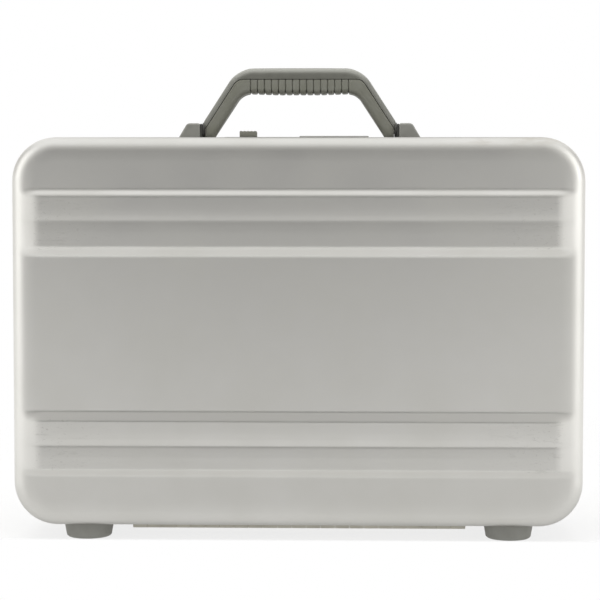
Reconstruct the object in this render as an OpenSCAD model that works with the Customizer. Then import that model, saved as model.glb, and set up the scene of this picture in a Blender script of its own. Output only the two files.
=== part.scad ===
// Aluminium attache case: two pressed shells in extruded frames, hinged along the bottom edge.
// X runs across the case, Y from the lid's face to the base's face, Z up from the floor.
// The origin is on the floor, under the middle of the seam. Sizes are in millimetres.

/* [Case] */
// Width across the two shells
case_w = 457; // [430:1:480]
// Height of the shells, without feet and handle
case_h = 311.4; // [295:0.2:330]
// Depth of one half, from the seam to the flat of its face
half_d = 57.5; // [52:0.5:64]
// Radius of the corners seen from the front
corner_r = 35; // [30:1:40]
// Radius between a face and the sides
edge_r = 11; // [8:0.5:13]
// Thickness of the pressed sheet
wall = 1.3; // [1:0.1:1.6]

/* [Ribs] */
// Height of a rib over the face
rib_h = 3; // [2:0.1:4]
// Half length of a rib's crest
rib_crest_x = 207; // [190:1:208]
// Length of the slope at a rib's end
rib_end = 11; // [6:0.5:12]
// Distance from the case's top to the upper pair
pair_a_from_top = 41.3; // [36:0.5:60]
// First slope of the upper pair
pair_a_slope = 5.2; // [4:0.2:8]
// First crest of the upper pair
pair_a_crest = 8.7; // [6:0.1:12]
// Slope between the crests of the upper pair
pair_a_fall = 12; // [8:0.5:14]
// Step up to the second crest of the upper pair
pair_a_step = 1.2; // [1:0.1:2]
// Second crest of the upper pair
pair_a_wide = 14.3; // [10:0.1:18]
// Last slope of the upper pair
pair_a_end = 13.2; // [8:0.2:16]
// Depth of the valley between the two ribs of a pair
valley_d = 1.1; // [1:0.1:2]
// Distance from the case's top to the lower pair
pair_b_from_top = 218.6; // [200:0.5:225]
// First slope of the lower pair
pair_b_slope = 7.6; // [4:0.2:9]
// First crest of the lower pair
pair_b_crest = 6.8; // [5:0.1:10]
// Slope between the crests of the lower pair
pair_b_fall = 13; // [8:0.5:15]
// Step up to the second crest of the lower pair
pair_b_step = 1.3; // [1:0.1:2]
// Second crest of the lower pair
pair_b_wide = 16.7; // [10:0.1:20]
// Last slope of the lower pair
pair_b_end = 6.4; // [5:0.2:12]

/* [Frames] */
// Open gap at the seam between the two frames
seam_gap = 0.3; // [0.2:0.05:0.5]
// How far a frame's band stands over the shell
band_t = 1.1; // [0.8:0.1:1.4]
// Width of a frame's outer band
band_w = 7; // [6:0.5:9]
// Thickness of a frame's web at the seam
web_t = 2.6; // [2.2:0.1:3.2]
// Thickness of a frame's inner leg
leg_t = 1.6; // [1.2:0.1:2]
// Depth of a frame's inner leg
leg_d = 16; // [14:0.5:18]
// Play between a shell's edge and its slot
slot_fit = 0.2; // [0.18:0.01:0.3]
// Radius of a frame rivet's shank
rivet_r = 1.5; // [1.2:0.1:1.8]
// Radius of a frame rivet's head
rivet_head_r = 2.4; // [2:0.1:2.6]
// Thickness of a frame rivet's head
rivet_head_t = 0.9; // [0.6:0.1:1.2]
// Distance of the frame rivets from the seam
rivet_y = 5; // [4.4:0.1:5.2]
// Distance of the last frame rivets from the case's sides
rivet_end = 48.5; // [43.5:0.5:63.5]
// Spacing of the frame rivets along the sides
rivet_pitch_z = 56; // [50:1:58]
// Width of the gasket
gasket_w = 1.8; // [1.4:0.1:2]
// Depth of the gasket in its groove
gasket_d = 1.2; // [0.9:0.1:1.4]

/* [Feet] */
// Height of a foot
foot_h = 12.6; // [12.2:0.1:15]
// Radius of a foot where it meets the shell
foot_top_r = 20.2; // [18:0.1:20.8]
// Radius of a foot on the floor
foot_low_r = 18.5; // [16:0.1:19]
// Distance of the lid's feet from the case's sides
lid_foot_in = 57.5; // [54.5:0.5:66.5]
// Distance of the base's feet from the case's sides
base_foot_in = 51.5; // [48.5:0.5:63.5]
// Distance of the feet from the seam
foot_y = 27.5; // [27:0.1:29]
// Radius of a foot screw's shank
foot_screw_r = 2; // [1.5:0.1:2.5]
// Radius of a foot screw's head
foot_head_r = 4.2; // [3.5:0.1:5]
// Thickness of a foot screw's head
foot_head_t = 2.4; // [2:0.1:3]
// Height of a foot screw's head over the floor
foot_head_z = 3.5; // [3:0.1:5]
// Thickness of a foot screw's nut
nut_t = 1.6; // [1:0.1:1.7]

/* [Hinge] */
// Length of the hinge
hinge_l = 276; // [250:1:300]
// Height of the hinge pin over the floor
hinge_z = 5.5; // [5:0.1:6]
// Radius of a hinge knuckle
knuckle_r = 4; // [3.5:0.1:4.4]
// Radius of the hinge pin
hinge_pin_r = 1.5; // [1.2:0.1:2]
// Number of hinge knuckles
knuckles = 23; // [15:2:31]
// Gap between neighbouring knuckles
knuckle_gap = 0.3; // [0.2:0.05:0.5]
// Thickness of a hinge leaf
leaf_t = 1.2; // [1:0.1:1.5]
// Distance of a leaf from the seam
leaf_gap = 0.3; // [0.2:0.05:0.4]

/* [Handle] */
// Distance of the handle and the lock from the seam
handle_y = 20; // [20:0.5:22]
// Height of the handle's pivot over the case
pivot_h = 8; // [7.8:0.1:9]
// Height of the handle over the case
handle_h = 60; // [55:0.5:66]
// Half width of the handle at its legs
leg_x = 80.6; // [78:0.1:80.9]
// How far the handle's legs lean in at their ends
toe_in = 1.6; // [0:0.1:1.7]
// Height at which the handle's legs turn inwards
elbow_h = 14.1; // [13:0.1:15]
// Half width of the handle at its shoulders
shoulder_x = 55.9; // [54:0.1:58]
// Height of the handle's shoulders
shoulder_h = 52; // [50:0.5:54]
// Half width of the handle's flat top
crown_x = 43.4; // [40:0.1:46]
// Fall of the crown at the ends of its flat top
crown_fall = 1; // [0.5:0.1:2]
// Depth of the handle from front to back
handle_d = 22; // [19:0.5:22]
// Radius of the handle's long edges
handle_edge_r = 6; // [4:0.5:7]
// Radius of the handle's pivot ends
handle_end_r = 7; // [6.4:0.1:7.2]
// Thickness of the cover on top of the grip
cover_top = 9.6; // [8:0.1:11]
// Thickness of the cover along the arms
cover_side = 4.5; // [4:0.1:5.5]
// Thickness of the cover along the legs
cover_leg = 2; // [1.6:0.1:2.6]
// Thickness of cover and grip together on top
grip_h = 23; // [21:0.5:25]
// Thickness of cover and grip together along the arms
arm_t = 14.8; // [14:0.1:16]
// Half width of the ribbed stretch of the grip
grip_x = 41; // [36:0.5:42]
// Spacing of the finger grooves
groove_pitch = 5.86; // [5.4:0.02:5.9]
// Radius of a finger groove
groove_r = 1.3; // [0.8:0.1:1.6]
// Thickness of the steel strap in the handle
core_t = 2.5; // [2:0.1:3]
// Width of the steel strap in the handle
core_w = 12; // [9:0.5:12]
// Play round the steel strap
core_fit = 0.3; // [0.2:0.05:0.4]
// Radius of a handle pin
pin_r = 3; // [2.5:0.1:3.4]
// Running clearance of a pin in its bore
pin_fit = 0.06; // [0.03:0.01:0.1]
// Inner end of a handle pin, from the middle
pin_in_x = 69; // [68:0.5:71]
// Outer end of a handle pin, from the middle
pin_out_x = 92; // [90:0.1:93]
// Distance of a post's inner face from the middle
post_x = 82.5; // [81.5:0.1:83.5]
// Width of a post at its foot
post_foot_w = 18.8; // [17:0.1:21]
// Width of a post at its top
post_top_w = 10; // [9:0.1:12]
// Height of a post over the case
post_h = 13.8; // [13:0.1:15]
// Depth of a post
post_d = 22; // [18:0.5:22]
// Radius of a post screw's shank
post_screw_r = 1.8; // [1.4:0.1:2]
// Radius of a post screw's head
post_head_r = 3; // [2.6:0.1:3.4]
// Thickness of a post screw's head
post_head_t = 1.5; // [1.2:0.1:1.6]
// Height of a post screw's end over the case
post_screw_h = 3.8; // [3:0.1:4.5]

/* [Lock] */
// Left end of the lock plate
lock_x0 = -62.3; // [-64:0.1:-61]
// Right end of the lock plate
lock_x1 = 57.3; // [56:0.1:60]
// Depth of the lock from front to back
lock_d = 22; // [21:0.5:22]
// Thickness of the lock plate
plate_t = 2.3; // [2:0.1:2.6]
// Height of the raised dial section over the case
raised_h = 3.2; // [3:0.1:3.6]
// Left end of the raised dial section
raised_x = 0; // [-2:0.5:2]
// Depth of the lock housing under the case's top
housing_h = 18.7; // [18.5:0.1:20]
// Thickness of the housing's walls
housing_t = 1.2; // [1:0.1:1.3]
// Length of the solid ends of the housing
lug_l = 6.3; // [6:0.1:6.6]
// Radius of a lock screw's shank
lock_screw_r = 1.4; // [1.2:0.1:1.6]
// Radius of a lock screw's head
lock_head_r = 2.5; // [2.2:0.1:2.7]
// Thickness of a lock screw's head
lock_head_t = 1.2; // [1:0.1:1.4]
// Depth of a lock screw under the case's top
lock_screw_l = 12; // [10:0.5:14]
// Radius of a number dial
dial_r = 8; // [7.6:0.1:8.2]
// Thickness of a number dial
dial_t = 7; // [6:0.1:8]
// Length of a dial's hub
hub_l = 11.4; // [10:0.1:11.6]
// Radius of a dial's hub
hub_r = 3.6; // [3:0.1:4]
// Distance of the first dial from the middle
dial_x = 13; // [12.5:0.1:14]
// Spacing of the dials
dial_pitch = 12; // [11.8:0.1:12.4]
// How far a dial stands over the raised section
dial_proud = 0.4; // [0.2:0.1:0.8]
// Radius of the dial axle
axle_r = 1.5; // [1.2:0.1:2]
// Running clearance of a dial on its axle
axle_fit = 0.05; // [0.03:0.01:0.09]
// Left end of the slide button
button_x = -49.9; // [-50.5:0.1:-48]
// Length of the slide button
button_l = 14.2; // [13:0.1:15]
// Height of the slide button over the case
button_h = 6.3; // [6:0.1:7]
// Depth of the slide button from front to back
button_d = 11; // [10:0.5:13]
// Travel of the slide button
travel = 6; // [5:0.1:6.4]
// Clearance of the sliding parts of the lock
slide_fit = 0.4; // [0.3:0.05:0.5]
// Thickness of the latch bar
bar_t = 3; // [2.4:0.1:3.1]
// Width of a latch finger
finger_w = 5; // [4:0.1:6]
// Reach of a latch finger past the seam
finger_y = 7; // [6.5:0.1:7.4]
// Length of a latch finger's toe
toe_l = 2; // [1.5:0.1:2.4]
// Thickness of a latch finger's toe
toe_t = 2; // [1.6:0.1:2.2]
// Place of the left latch finger
finger_left_x = -51; // [-52:0.5:-50]
// Place of the right latch finger
finger_right_x = 35; // [32:0.5:36]
// Side length of the latch bar's stem
stem_w = 6; // [5:0.1:6.5]
// Radius of the return spring
spring_r = 1.8; // [1.4:0.1:2.2]
// Thickness of the detent leaf
detent_t = 0.6; // [0.5:0.05:0.8]
// Thickness of a keeper
keeper_t = 1.5; // [1.2:0.1:1.6]
// Distance of a keeper from the seam
keeper_y = 3; // [2.7:0.1:3.3]
// Length of a keeper's flange
keeper_l = 10; // [9:0.5:11]

/* [Stays] */
// Distance of a stay's pivots from the seam
stay_y = 10; // [9.5:0.1:10.5]
// Height of a stay's pivots over the floor
stay_z = 70; // [66:0.5:76]
// Width of a stay arm
arm_w = 9; // [8:0.1:10]
// Thickness of a stay arm
arm_plate_t = 1.2; // [1:0.1:1.4]
// Radius of a stay's pivot studs
stud_r = 2.2; // [1.8:0.1:2.6]
// Running clearance of an arm on its stud
stud_fit = 0.06; // [0.03:0.01:0.1]
// Clearance of the elbow pin in the lid's arm
elbow_fit = 0.4; // [0.3:0.05:0.5]
// Radius of a stud's head
stud_head_r = 3.8; // [3.4:0.1:4.2]
// Thickness of a stud's head
stud_head_t = 0.7; // [0.5:0.05:0.8]
// Gap beside each stay arm
stay_gap = 0.6; // [0.5:0.05:0.8]
// Thickness of a stay bracket
bracket_t = 1.5; // [1.2:0.1:2]
// Height of a stay bracket
bracket_h = 24; // [22:0.5:26]
// Width of a stay bracket
bracket_w = 10.5; // [10:0.1:11]

/* [Lining] */
// Play between the lining and what it lies in
liner_fit = 0.3; // [0.2:0.05:0.4]
// Thickness of the lining
liner_t = 2; // [1.5:0.1:2.5]
// Distance of the lining's rim from the seam
liner_y = 8; // [7.8:0.1:8.4]
// Play between the lining and the pressed face
liner_back = 0.5; // [0.4:0.1:0.8]
// Width of the document pocket
pocket_w = 380; // [340:1:390]
// Height of the document pocket
pocket_h = 190; // [170:1:200]
// Height of the pocket's lower edge over the floor
pocket_z = 40; // [34:1:50]
// Depth of the document pocket
pocket_d = 9; // [8:0.5:10]
// Thickness of the pocket's sheet
pocket_t = 1.8; // [1.4:0.1:2]
// Width of the card pocket
card_w = 104; // [96:1:110]
// Height of the card pocket
card_h = 68; // [60:1:72]
// Distance of the card pocket from the document pocket's edge
card_in = 28; // [24:1:32]
// Distance of the card pocket from the document pocket's lower edge
card_z = 70; // [60:1:80]
// Inner radius of a pen loop
loop_r = 6.5; // [6:0.1:7]
// Thickness of a pen loop
loop_t = 1.2; // [1:0.1:1.5]
// Height of a pen loop
loop_h = 24; // [20:1:28]
// Spacing of the pen loops
loop_pitch = 19; // [18:0.5:22]
// Distance of the last pen loop from the document pocket's edge
loop_in = 56; // [50:1:62]
// Distance of the pen loops from the document pocket's lower edge
loop_z = 130; // [120:1:140]

/* [Hidden] */
$fn = 64;
hull_fn = 32;
eps = 0.01;
case_low = foot_h;
case_top = foot_h + case_h;
case_mid = foot_h + case_h / 2;
lid_foot_x = case_w / 2 - lid_foot_in;
base_foot_x = case_w / 2 - base_foot_in;
rivet_pitch_x = (case_w / 2 - rivet_end) / 2.5;
leg_out = wall + slot_fit;
leg_in = leg_out + leg_t;
liner_out = leg_in + liner_fit;
liner_in = liner_out + liner_t;
liner_face = half_d - wall - liner_back;
liner_floor = liner_face - liner_t;
side_leg_x = case_w / 2 - leg_in;
slip = 0.05;
dash_skin = 1;
ridge_sink = 0.6;

pivot_z = case_top + pivot_h;
split_h = handle_h - cover_top;
under_h = handle_h - grip_h;
leg_low = 1;
slant_l = norm([leg_x - shoulder_x, shoulder_h - elbow_h]);
slant_nx = (shoulder_h - elbow_h) / slant_l;
slant_nz = (leg_x - shoulder_x) / slant_l;

housing_low = case_top - wall - housing_h;
housing_front = handle_y - lock_d / 2;
housing_back = handle_y + lock_d / 2;
cavity_x0 = lock_x0 + lug_l;
cavity_x1 = lock_x1 - lug_l;
dial_z = case_top + raised_h + dial_proud - dial_r;
bar_z = housing_low + housing_t + slide_fit;
bar_x0 = cavity_x0 + housing_t;
bar_x1 = cavity_x1 - travel - housing_t;
bar_front = housing_front + housing_t + slide_fit;
bar_back = housing_back - housing_t - slide_fit;
stem_x = button_x + (button_l - stem_w) / 2;
axle_wall_x = dial_x - hub_l / 2 - 1.5 * slide_fit - housing_t;

stay_l = norm([stay_y, stay_z - hinge_z]);
lid_arm_x = case_w / 2 - liner_in - liner_fit;
base_arm_x = lid_arm_x - arm_plate_t - stay_gap - stud_head_t - stay_gap;
pocket_face = -liner_floor + liner_fit + pocket_d;
card_x = card_in + card_w / 2 - pocket_w / 2;
loop_x = pocket_w / 2 - loop_in - 2 * loop_pitch;

alloy = [0.74, 0.74, 0.72];
steel = [0.62, 0.62, 0.63];
plastic = [0.42, 0.42, 0.39];
rubber = [0.50, 0.49, 0.46];
cloth = [0.20, 0.20, 0.21];

// The case's outline seen from the front, drawn in by inset
module outline(inset) {
    w = case_w - 2 * inset;
    h = case_h - 2 * inset;
    r = corner_r - inset;
    translate([0, case_mid]) {
        square([w - 2 * r, h], center = true);
        square([w, h - 2 * r], center = true);
        for (x = [-1, 1], z = [-1, 1])
            translate([x * (w / 2 - r), z * (h / 2 - r)]) circle(r);
    }
}

// A flat shape drawn in X and Z, given its thickness from y0 to y1
module slab(y0, y1) {
    translate([0, y1, 0]) rotate([90, 0, 0]) linear_extrude(y1 - y0) children();
}

// A flat shape drawn in Y and Z, given its thickness from x0 to x1
module plank(x0, x1) {
    translate([x0, 0, 0]) rotate([90, 0, 90]) linear_extrude(x1 - x0) children();
}

// A frame all round the case between two insets
module ring(inset_out, inset_in, y0, y1) {
    slab(y0, y1) difference() {
        outline(inset_out);
        outline(inset_in);
    }
}

module block(x0, x1, y0, y1, z0, z1) {
    translate([x0, y0, z0]) cube([x1 - x0, y1 - y0, z1 - z0]);
}

module rod_x(x0, x1, y, z, r) {
    translate([x0, y, z]) rotate([0, 90, 0]) cylinder(r = r, h = x1 - x0);
}

module to_lid() {
    mirror([0, 1, 0]) children();
}

module both_sides() {
    for (s = [0, 1]) mirror([s, 0, 0]) children();
}

// A pressed pan with rounded corners and a rounded face edge
module pan(inset, y0, y1) {
    c = corner_r - inset;
    e = edge_r - inset;
    hull() for (x = [-1, 1], z = [-1, 1])
        translate([x * (case_w / 2 - corner_r), y0, case_mid + z * (case_h / 2 - corner_r)])
            rotate([-90, 0, 0]) rotate_extrude($fn = hull_fn) {
                square([c, y1 - y0 - e]);
                square([c - e, y1 - y0]);
                translate([c - e, y1 - y0 - e]) circle(e, $fn = hull_fn);
            }
}

// One rib with sloping sides and ends, from the heights of its four creases
module ridge(z, skin, y0, y1) {
    k = ridge_sink / (y1 - y0);
    low_z = [z[0] - skin, z[3] + skin];
    high_z = [z[1] - skin, z[2] + skin];
    low_x = rib_crest_x + rib_end - skin;
    high_x = rib_crest_x - skin;
    bx = low_x + (low_x - high_x) * k;
    b0 = low_z[0] + (low_z[0] - high_z[0]) * k;
    b1 = low_z[1] + (low_z[1] - high_z[1]) * k;
    yb = y0 - ridge_sink;
    polyhedron(
        points = [[-bx, yb, b1], [bx, yb, b1], [bx, yb, b0], [-bx, yb, b0],
            [-high_x, y1, high_z[1]], [high_x, y1, high_z[1]],
            [high_x, y1, high_z[0]], [-high_x, y1, high_z[0]]],
        faces = [[0, 3, 2, 1], [4, 5, 6, 7], [0, 1, 5, 4], [1, 2, 6, 5], [2, 3, 7, 6],
            [3, 0, 4, 7]]);
}

// Two ribs whose slopes cross in a shallow valley between them
module rib_pair(from_top, slope, crest, fall, step, wide, last, skin, drop) {
    k = rib_h / valley_d;
    z0 = case_top - from_top;
    z1 = z0 - slope;
    z2 = z1 - crest;
    z4 = z2 - fall - step;
    z5 = z4 - wide;
    z6 = z5 - last;
    ridge([z0, z1, z2, z2 - fall * k], skin, half_d - drop, half_d + rib_h - drop);
    ridge([z4 + step * k, z4, z5, z6], skin, half_d - drop, half_d + rib_h - drop);
}

module ribs(skin, drop) {
    rib_pair(pair_a_from_top, pair_a_slope, pair_a_crest, pair_a_fall, pair_a_step,
        pair_a_wide, pair_a_end, skin, drop);
    rib_pair(pair_b_from_top, pair_b_slope, pair_b_crest, pair_b_fall, pair_b_step,
        pair_b_wide, pair_b_end, skin, drop);
}

module half_shell(foot_x) {
    color(alloy) difference() {
        union() {
            pan(0, web_t, half_d);
            ribs(0, 0);
        }
        pan(wall, -1, half_d - wall);
        ribs(dash_skin, wall);
        both_sides() translate([foot_x, foot_y, 0]) cylinder(r = foot_screw_r + slip, h = case_mid);
        children();
    }
}

// The post screws' places along X, one pair under each post
module at_post_screws() {
    both_sides() for (i = [1, 3])
        translate([post_x + i * post_foot_w / 4, handle_y, case_top]) children();
}

module rear_shell() {
    half_shell(base_foot_x) {
        block(cavity_x0, cavity_x1, housing_front + housing_t, housing_back - housing_t,
            case_mid, case_top + plate_t);
        at_lock_screws() cylinder(r = lock_screw_r + slip, h = 4 * wall, center = true);
        at_post_screws() cylinder(r = post_screw_r + slip, h = 4 * wall, center = true);
    }
}

module front_shell() {
    to_lid() half_shell(lid_foot_x);
}

// Rivet places: Z points from the inner leg's face into the case
module at_frame_rivets() {
    for (i = [-2.5:1:2.5]) translate([i * rivet_pitch_x, rivet_y, case_low + leg_in]) children();
    for (i = [-2.5, -1.5, 1.5, 2.5])
        translate([i * rivet_pitch_x, rivet_y, case_top - leg_in]) rotate([180, 0, 0]) children();
    both_sides() for (i = [-0.5:1:1.5])
        translate([-side_leg_x, rivet_y, case_mid + i * rivet_pitch_z])
            rotate([0, 90, 0]) children();
}

module half_frame() {
    difference() {
        union() {
            ring(-band_t, -slot_fit, seam_gap / 2, band_w);
            ring(-band_t, leg_in, seam_gap / 2, web_t);
            ring(leg_out, leg_in, seam_gap / 2, leg_d);
        }
        at_frame_rivets() translate([0, 0, -leg_t - eps])
            cylinder(r = rivet_r + slip, h = leg_t + 2 * eps);
        children();
    }
}

module frame_rivets() {
    color(steel) at_frame_rivets() {
        translate([0, 0, -leg_t]) cylinder(r = rivet_r, h = leg_t + eps);
        cylinder(r1 = rivet_head_r, r2 = rivet_head_r - rivet_head_t / 2, h = rivet_head_t);
    }
}

module base_frame() {
    color(alloy) half_frame() {
        ring(slot_fit * 3, slot_fit * 3 + gasket_w + 2 * slip, -1, gasket_d + slip);
        block(lock_x0 - 1, lock_x1 + 1, housing_front - liner_fit, leg_d + 1,
            case_mid, case_top - wall);
    }
}

module lid_frame() {
    color(alloy) to_lid() half_frame();
}

module base_frame_rivets() {
    frame_rivets();
}

module lid_frame_rivets() {
    to_lid() frame_rivets();
}

module gasket() {
    color(rubber) ring(slot_fit * 3 + slip, slot_fit * 3 + slip + gasket_w, 0, gasket_d);
}

module foot(x, y) {
    round_r = 2;
    color(rubber) translate([x, y, 0]) difference() {
        rotate_extrude() {
            difference() {
                polygon([[0, 0], [foot_low_r, 0], [foot_top_r, foot_h], [0, foot_h]]);
                translate([foot_low_r - round_r, -eps]) square(round_r + 1);
            }
            translate([0, round_r / 2]) square([foot_low_r - round_r, round_r]);
            translate([foot_low_r - round_r + slip, round_r]) circle(round_r - slip);
        }
        translate([0, 0, -1]) cylinder(r = foot_head_r + slide_fit, h = 1 + foot_head_z + foot_head_t);
        cylinder(r = foot_screw_r + slip, h = foot_h + 1);
    }
}

module foot_screws(x) {
    color(steel) both_sides() translate([x, foot_y, foot_head_z]) difference() {
        union() {
            cylinder(r = foot_head_r, h = foot_head_t);
            cylinder(r = foot_screw_r, h = case_low + wall + nut_t - foot_head_z);
        }
        translate([-foot_head_r * 0.7, -0.5, -eps]) cube([foot_head_r * 1.4, 1, foot_head_t / 2]);
        translate([-0.5, -foot_head_r * 0.7, -eps]) cube([1, foot_head_r * 1.4, foot_head_t / 2]);
    }
}

module foot_nuts(x) {
    color(steel) both_sides() translate([x, foot_y, case_low + wall]) difference() {
        cylinder(r = foot_head_r, h = nut_t, $fn = 6);
        translate([0, 0, -1]) cylinder(r = foot_screw_r + slip, h = nut_t + 2);
    }
}

module rear_foot_left() {
    foot(-base_foot_x, foot_y);
}

module rear_foot_right() {
    foot(base_foot_x, foot_y);
}

module front_foot_left() {
    foot(-lid_foot_x, -foot_y);
}

module front_foot_right() {
    foot(lid_foot_x, -foot_y);
}

module base_foot_screws() {
    foot_screws(base_foot_x);
}

module lid_foot_screws() {
    to_lid() foot_screws(lid_foot_x);
}

module base_foot_nuts() {
    foot_nuts(base_foot_x);
}

module lid_foot_nuts() {
    to_lid() foot_nuts(lid_foot_x);
}

// One hinge leaf: flange under the frame's band, drop plate and every second knuckle
module hinge_leaf(first) {
    knuckle_l = hinge_l / knuckles;
    x0 = -hinge_l / 2;
    top = case_low - band_t;
    color(steel) difference() {
        union() {
            block(x0, -x0, leaf_gap, band_w, top - leaf_t, top);
            block(x0, -x0, leaf_gap, leaf_gap + leaf_t, hinge_z, top);
            for (i = [first:2:knuckles - 1])
                rod_x(x0 + i * knuckle_l, x0 + (i + 1) * knuckle_l, 0, hinge_z, knuckle_r);
        }
        for (i = [1 - first:2:knuckles - 1])
            rod_x(x0 + i * knuckle_l - knuckle_gap / 2, x0 + (i + 1) * knuckle_l + knuckle_gap / 2,
                0, hinge_z, knuckle_r + knuckle_gap);
        if (first == 0)
            rod_x(x0 - 1, -x0 + 1, 0, hinge_z, hinge_pin_r);
        else
            rod_x(x0 - 1, -x0 + 1, 0, hinge_z, hinge_pin_r + pin_fit);
    }
}

module base_hinge_leaf() {
    hinge_leaf(0);
}

module lid_hinge_leaf() {
    to_lid() hinge_leaf(1);
}

module hinge_pin() {
    color(steel) rod_x(-hinge_l / 2, hinge_l / 2, 0, hinge_z, hinge_pin_r);
}

// One side's points of an outline, followed by the other side's
function whole(half) =
    concat(half, [for (i = [len(half) - 1:-1:0]) [-half[i][0], half[i][1]]]);

// Place along X of a line laid in by t from the handle's slanting outer edge
function slant_x(t, h) = leg_x - (t + (h - elbow_h) * slant_nz) / slant_nx;

// Height at which such a line meets the upright at x
function slant_h(t, x) = elbow_h + ((leg_x - x) * slant_nx - t) / slant_nz;

outer_half = [[leg_x - toe_in, leg_low], [leg_x, elbow_h], [shoulder_x, shoulder_h],
    [crown_x, handle_h - crown_fall], [crown_x / 2, handle_h]];
split_half = [[leg_x - cover_leg, 0], [leg_x - cover_leg, slant_h(cover_side, leg_x - cover_leg)],
    [slant_x(cover_side, split_h), split_h]];
inner_half = [[slant_x(arm_t, 0), 0], [slant_x(arm_t, under_h - 1), under_h - 1],
    [grip_x, under_h + 1]];

// The steel strap's outline: outer edge of the band, then its inner edge
module strap(play) {
    o = cover_side + core_fit - play;
    i = cover_side + core_fit + core_t + play;
    ox = leg_x - cover_leg - core_fit + play;
    ix = leg_x - cover_leg - core_fit - core_t - play;
    difference() {
        polygon(whole([[ox, leg_low + core_t], [ox, slant_h(o, ox)],
            [slant_x(o, split_h - core_fit + play), split_h - core_fit + play]]));
        polygon(whole([[ix, 0], [ix, slant_h(i, ix)],
            [slant_x(i, split_h - core_fit - core_t - play), split_h - core_fit - core_t - play]]));
    }
}

// The handle seen from its end, with its round pivot ends
module handle_side() {
    w = handle_d / 2;
    top = handle_h - handle_edge_r;
    translate([0, pivot_h]) circle(handle_end_r);
    polygon([[-handle_end_r, pivot_h], [handle_end_r, pivot_h], [handle_end_r, elbow_h],
        [w, under_h - handle_edge_r], [w, top], [-w, top], [-w, under_h - handle_edge_r],
        [-handle_end_r, elbow_h]]);
    translate([-w + handle_edge_r, top]) square([handle_d - 2 * handle_edge_r, handle_edge_r]);
    for (s = [-1, 1]) translate([s * (w - handle_edge_r), top]) circle(handle_edge_r);
}

module handle_body() {
    translate([0, handle_y, case_top]) intersection() {
        slab(-handle_d, handle_d) children();
        plank(-leg_x - 1, leg_x + 1) handle_side();
    }
}

module pin_bores() {
    rod_x(-leg_x - 1, leg_x + 1, handle_y, pivot_z, pin_r + pin_fit);
}

module strap_space() {
    translate([0, handle_y, case_top])
        slab(-core_w / 2 - core_fit, core_w / 2 + core_fit) strap(core_fit);
}

module handle_cover() {
    color(plastic) difference() {
        handle_body() difference() {
            polygon(whole(outer_half));
            polygon(whole(split_half));
        }
        pin_bores();
    }
}

module handle_grip() {
    count = floor(grip_x / groove_pitch);
    color(plastic) difference() {
        handle_body() difference() {
            polygon(whole(split_half));
            polygon(whole(inner_half));
        }
        strap_space();
        pin_bores();
        translate([0, handle_y, case_top + under_h]) for (i = [-count:count]) {
            for (s = [-1, 1]) translate([i * groove_pitch, s * (handle_d / 2 + groove_r / 3), 0])
                cylinder(r = groove_r, h = 3 * grip_h, center = true, $fn = 16);
            translate([i * groove_pitch, 0, groove_r / 3]) rotate([90, 0, 0])
                cylinder(r = groove_r, h = 2 * handle_d, center = true, $fn = 16);
        }
    }
}

module handle_core() {
    color(steel) difference() {
        translate([0, handle_y, case_top]) slab(-core_w / 2, core_w / 2) strap(0);
        pin_bores();
    }
}

module handle_pins() {
    color(steel) both_sides() rod_x(pin_in_x, pin_out_x, handle_y, pivot_z, pin_r);
}

module handle_post() {
    color(plastic) difference() {
        translate([0, handle_y, case_top]) slab(-post_d / 2, post_d / 2)
            polygon([[post_x, 0], [post_x + post_foot_w, 0], [post_x + post_top_w + 2, post_h - 2],
                [post_x + post_top_w, post_h], [post_x, post_h]]);
        rod_x(post_x - 1, pin_out_x, handle_y, pivot_z, pin_r);
        at_post_screws() translate([0, 0, -1]) cylinder(r = post_screw_r, h = 1 + post_screw_h);
    }
}

module handle_post_left() {
    mirror([1, 0, 0]) handle_post();
}

module handle_post_right() {
    handle_post();
}

module post_screws() {
    color(steel) at_post_screws() {
        translate([0, 0, -wall]) cylinder(r = post_screw_r - slip, h = wall + post_screw_h - slip);
        translate([0, 0, -wall - post_head_t]) cylinder(r = post_head_r, h = post_head_t);
    }
}

module at_lock_screws() {
    for (x = [lock_x0 + lug_l / 2, lock_x1 - lug_l / 2], y = [-1, 1])
        translate([x, handle_y + y * (lock_d / 2 - lug_l / 2), case_top]) children();
}

module lock_plate() {
    color(steel) difference() {
        union() {
            block(lock_x0, lock_x1, housing_front, housing_back, case_top, case_top + plate_t);
            block(raised_x, lock_x1 - lug_l, housing_front, housing_back, case_top,
                case_top + raised_h);
        }
        for (i = [0:2]) block(dial_x + i * dial_pitch - dial_t / 2 - slide_fit,
            dial_x + i * dial_pitch + dial_t / 2 + slide_fit,
            handle_y - dial_r + 1, handle_y + dial_r - 1, case_top - 1, case_top + raised_h + 1);
        block(stem_x - slide_fit, stem_x + stem_w + travel + slide_fit,
            handle_y - stem_w / 2 - slide_fit, handle_y + stem_w / 2 + slide_fit,
            case_top - 1, case_top + plate_t + 1);
        at_lock_screws() {
            translate([0, 0, -1]) cylinder(r = lock_screw_r + slip, h = plate_t + 2);
            translate([0, 0, plate_t - lock_head_t]) cylinder(r = lock_head_r + slip, h = lock_head_t + 1);
        }
    }
}

module lock_screws() {
    color(steel) at_lock_screws() difference() {
        union() {
            translate([0, 0, plate_t - lock_head_t]) cylinder(r = lock_head_r, h = lock_head_t);
            translate([0, 0, -lock_screw_l])
                cylinder(r = lock_screw_r, h = lock_screw_l + plate_t - lock_head_t);
        }
        translate([-lock_head_r * 0.7, -0.4, plate_t - lock_head_t / 2])
            cube([lock_head_r * 1.4, 0.8, lock_head_t]);
    }
}

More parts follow.
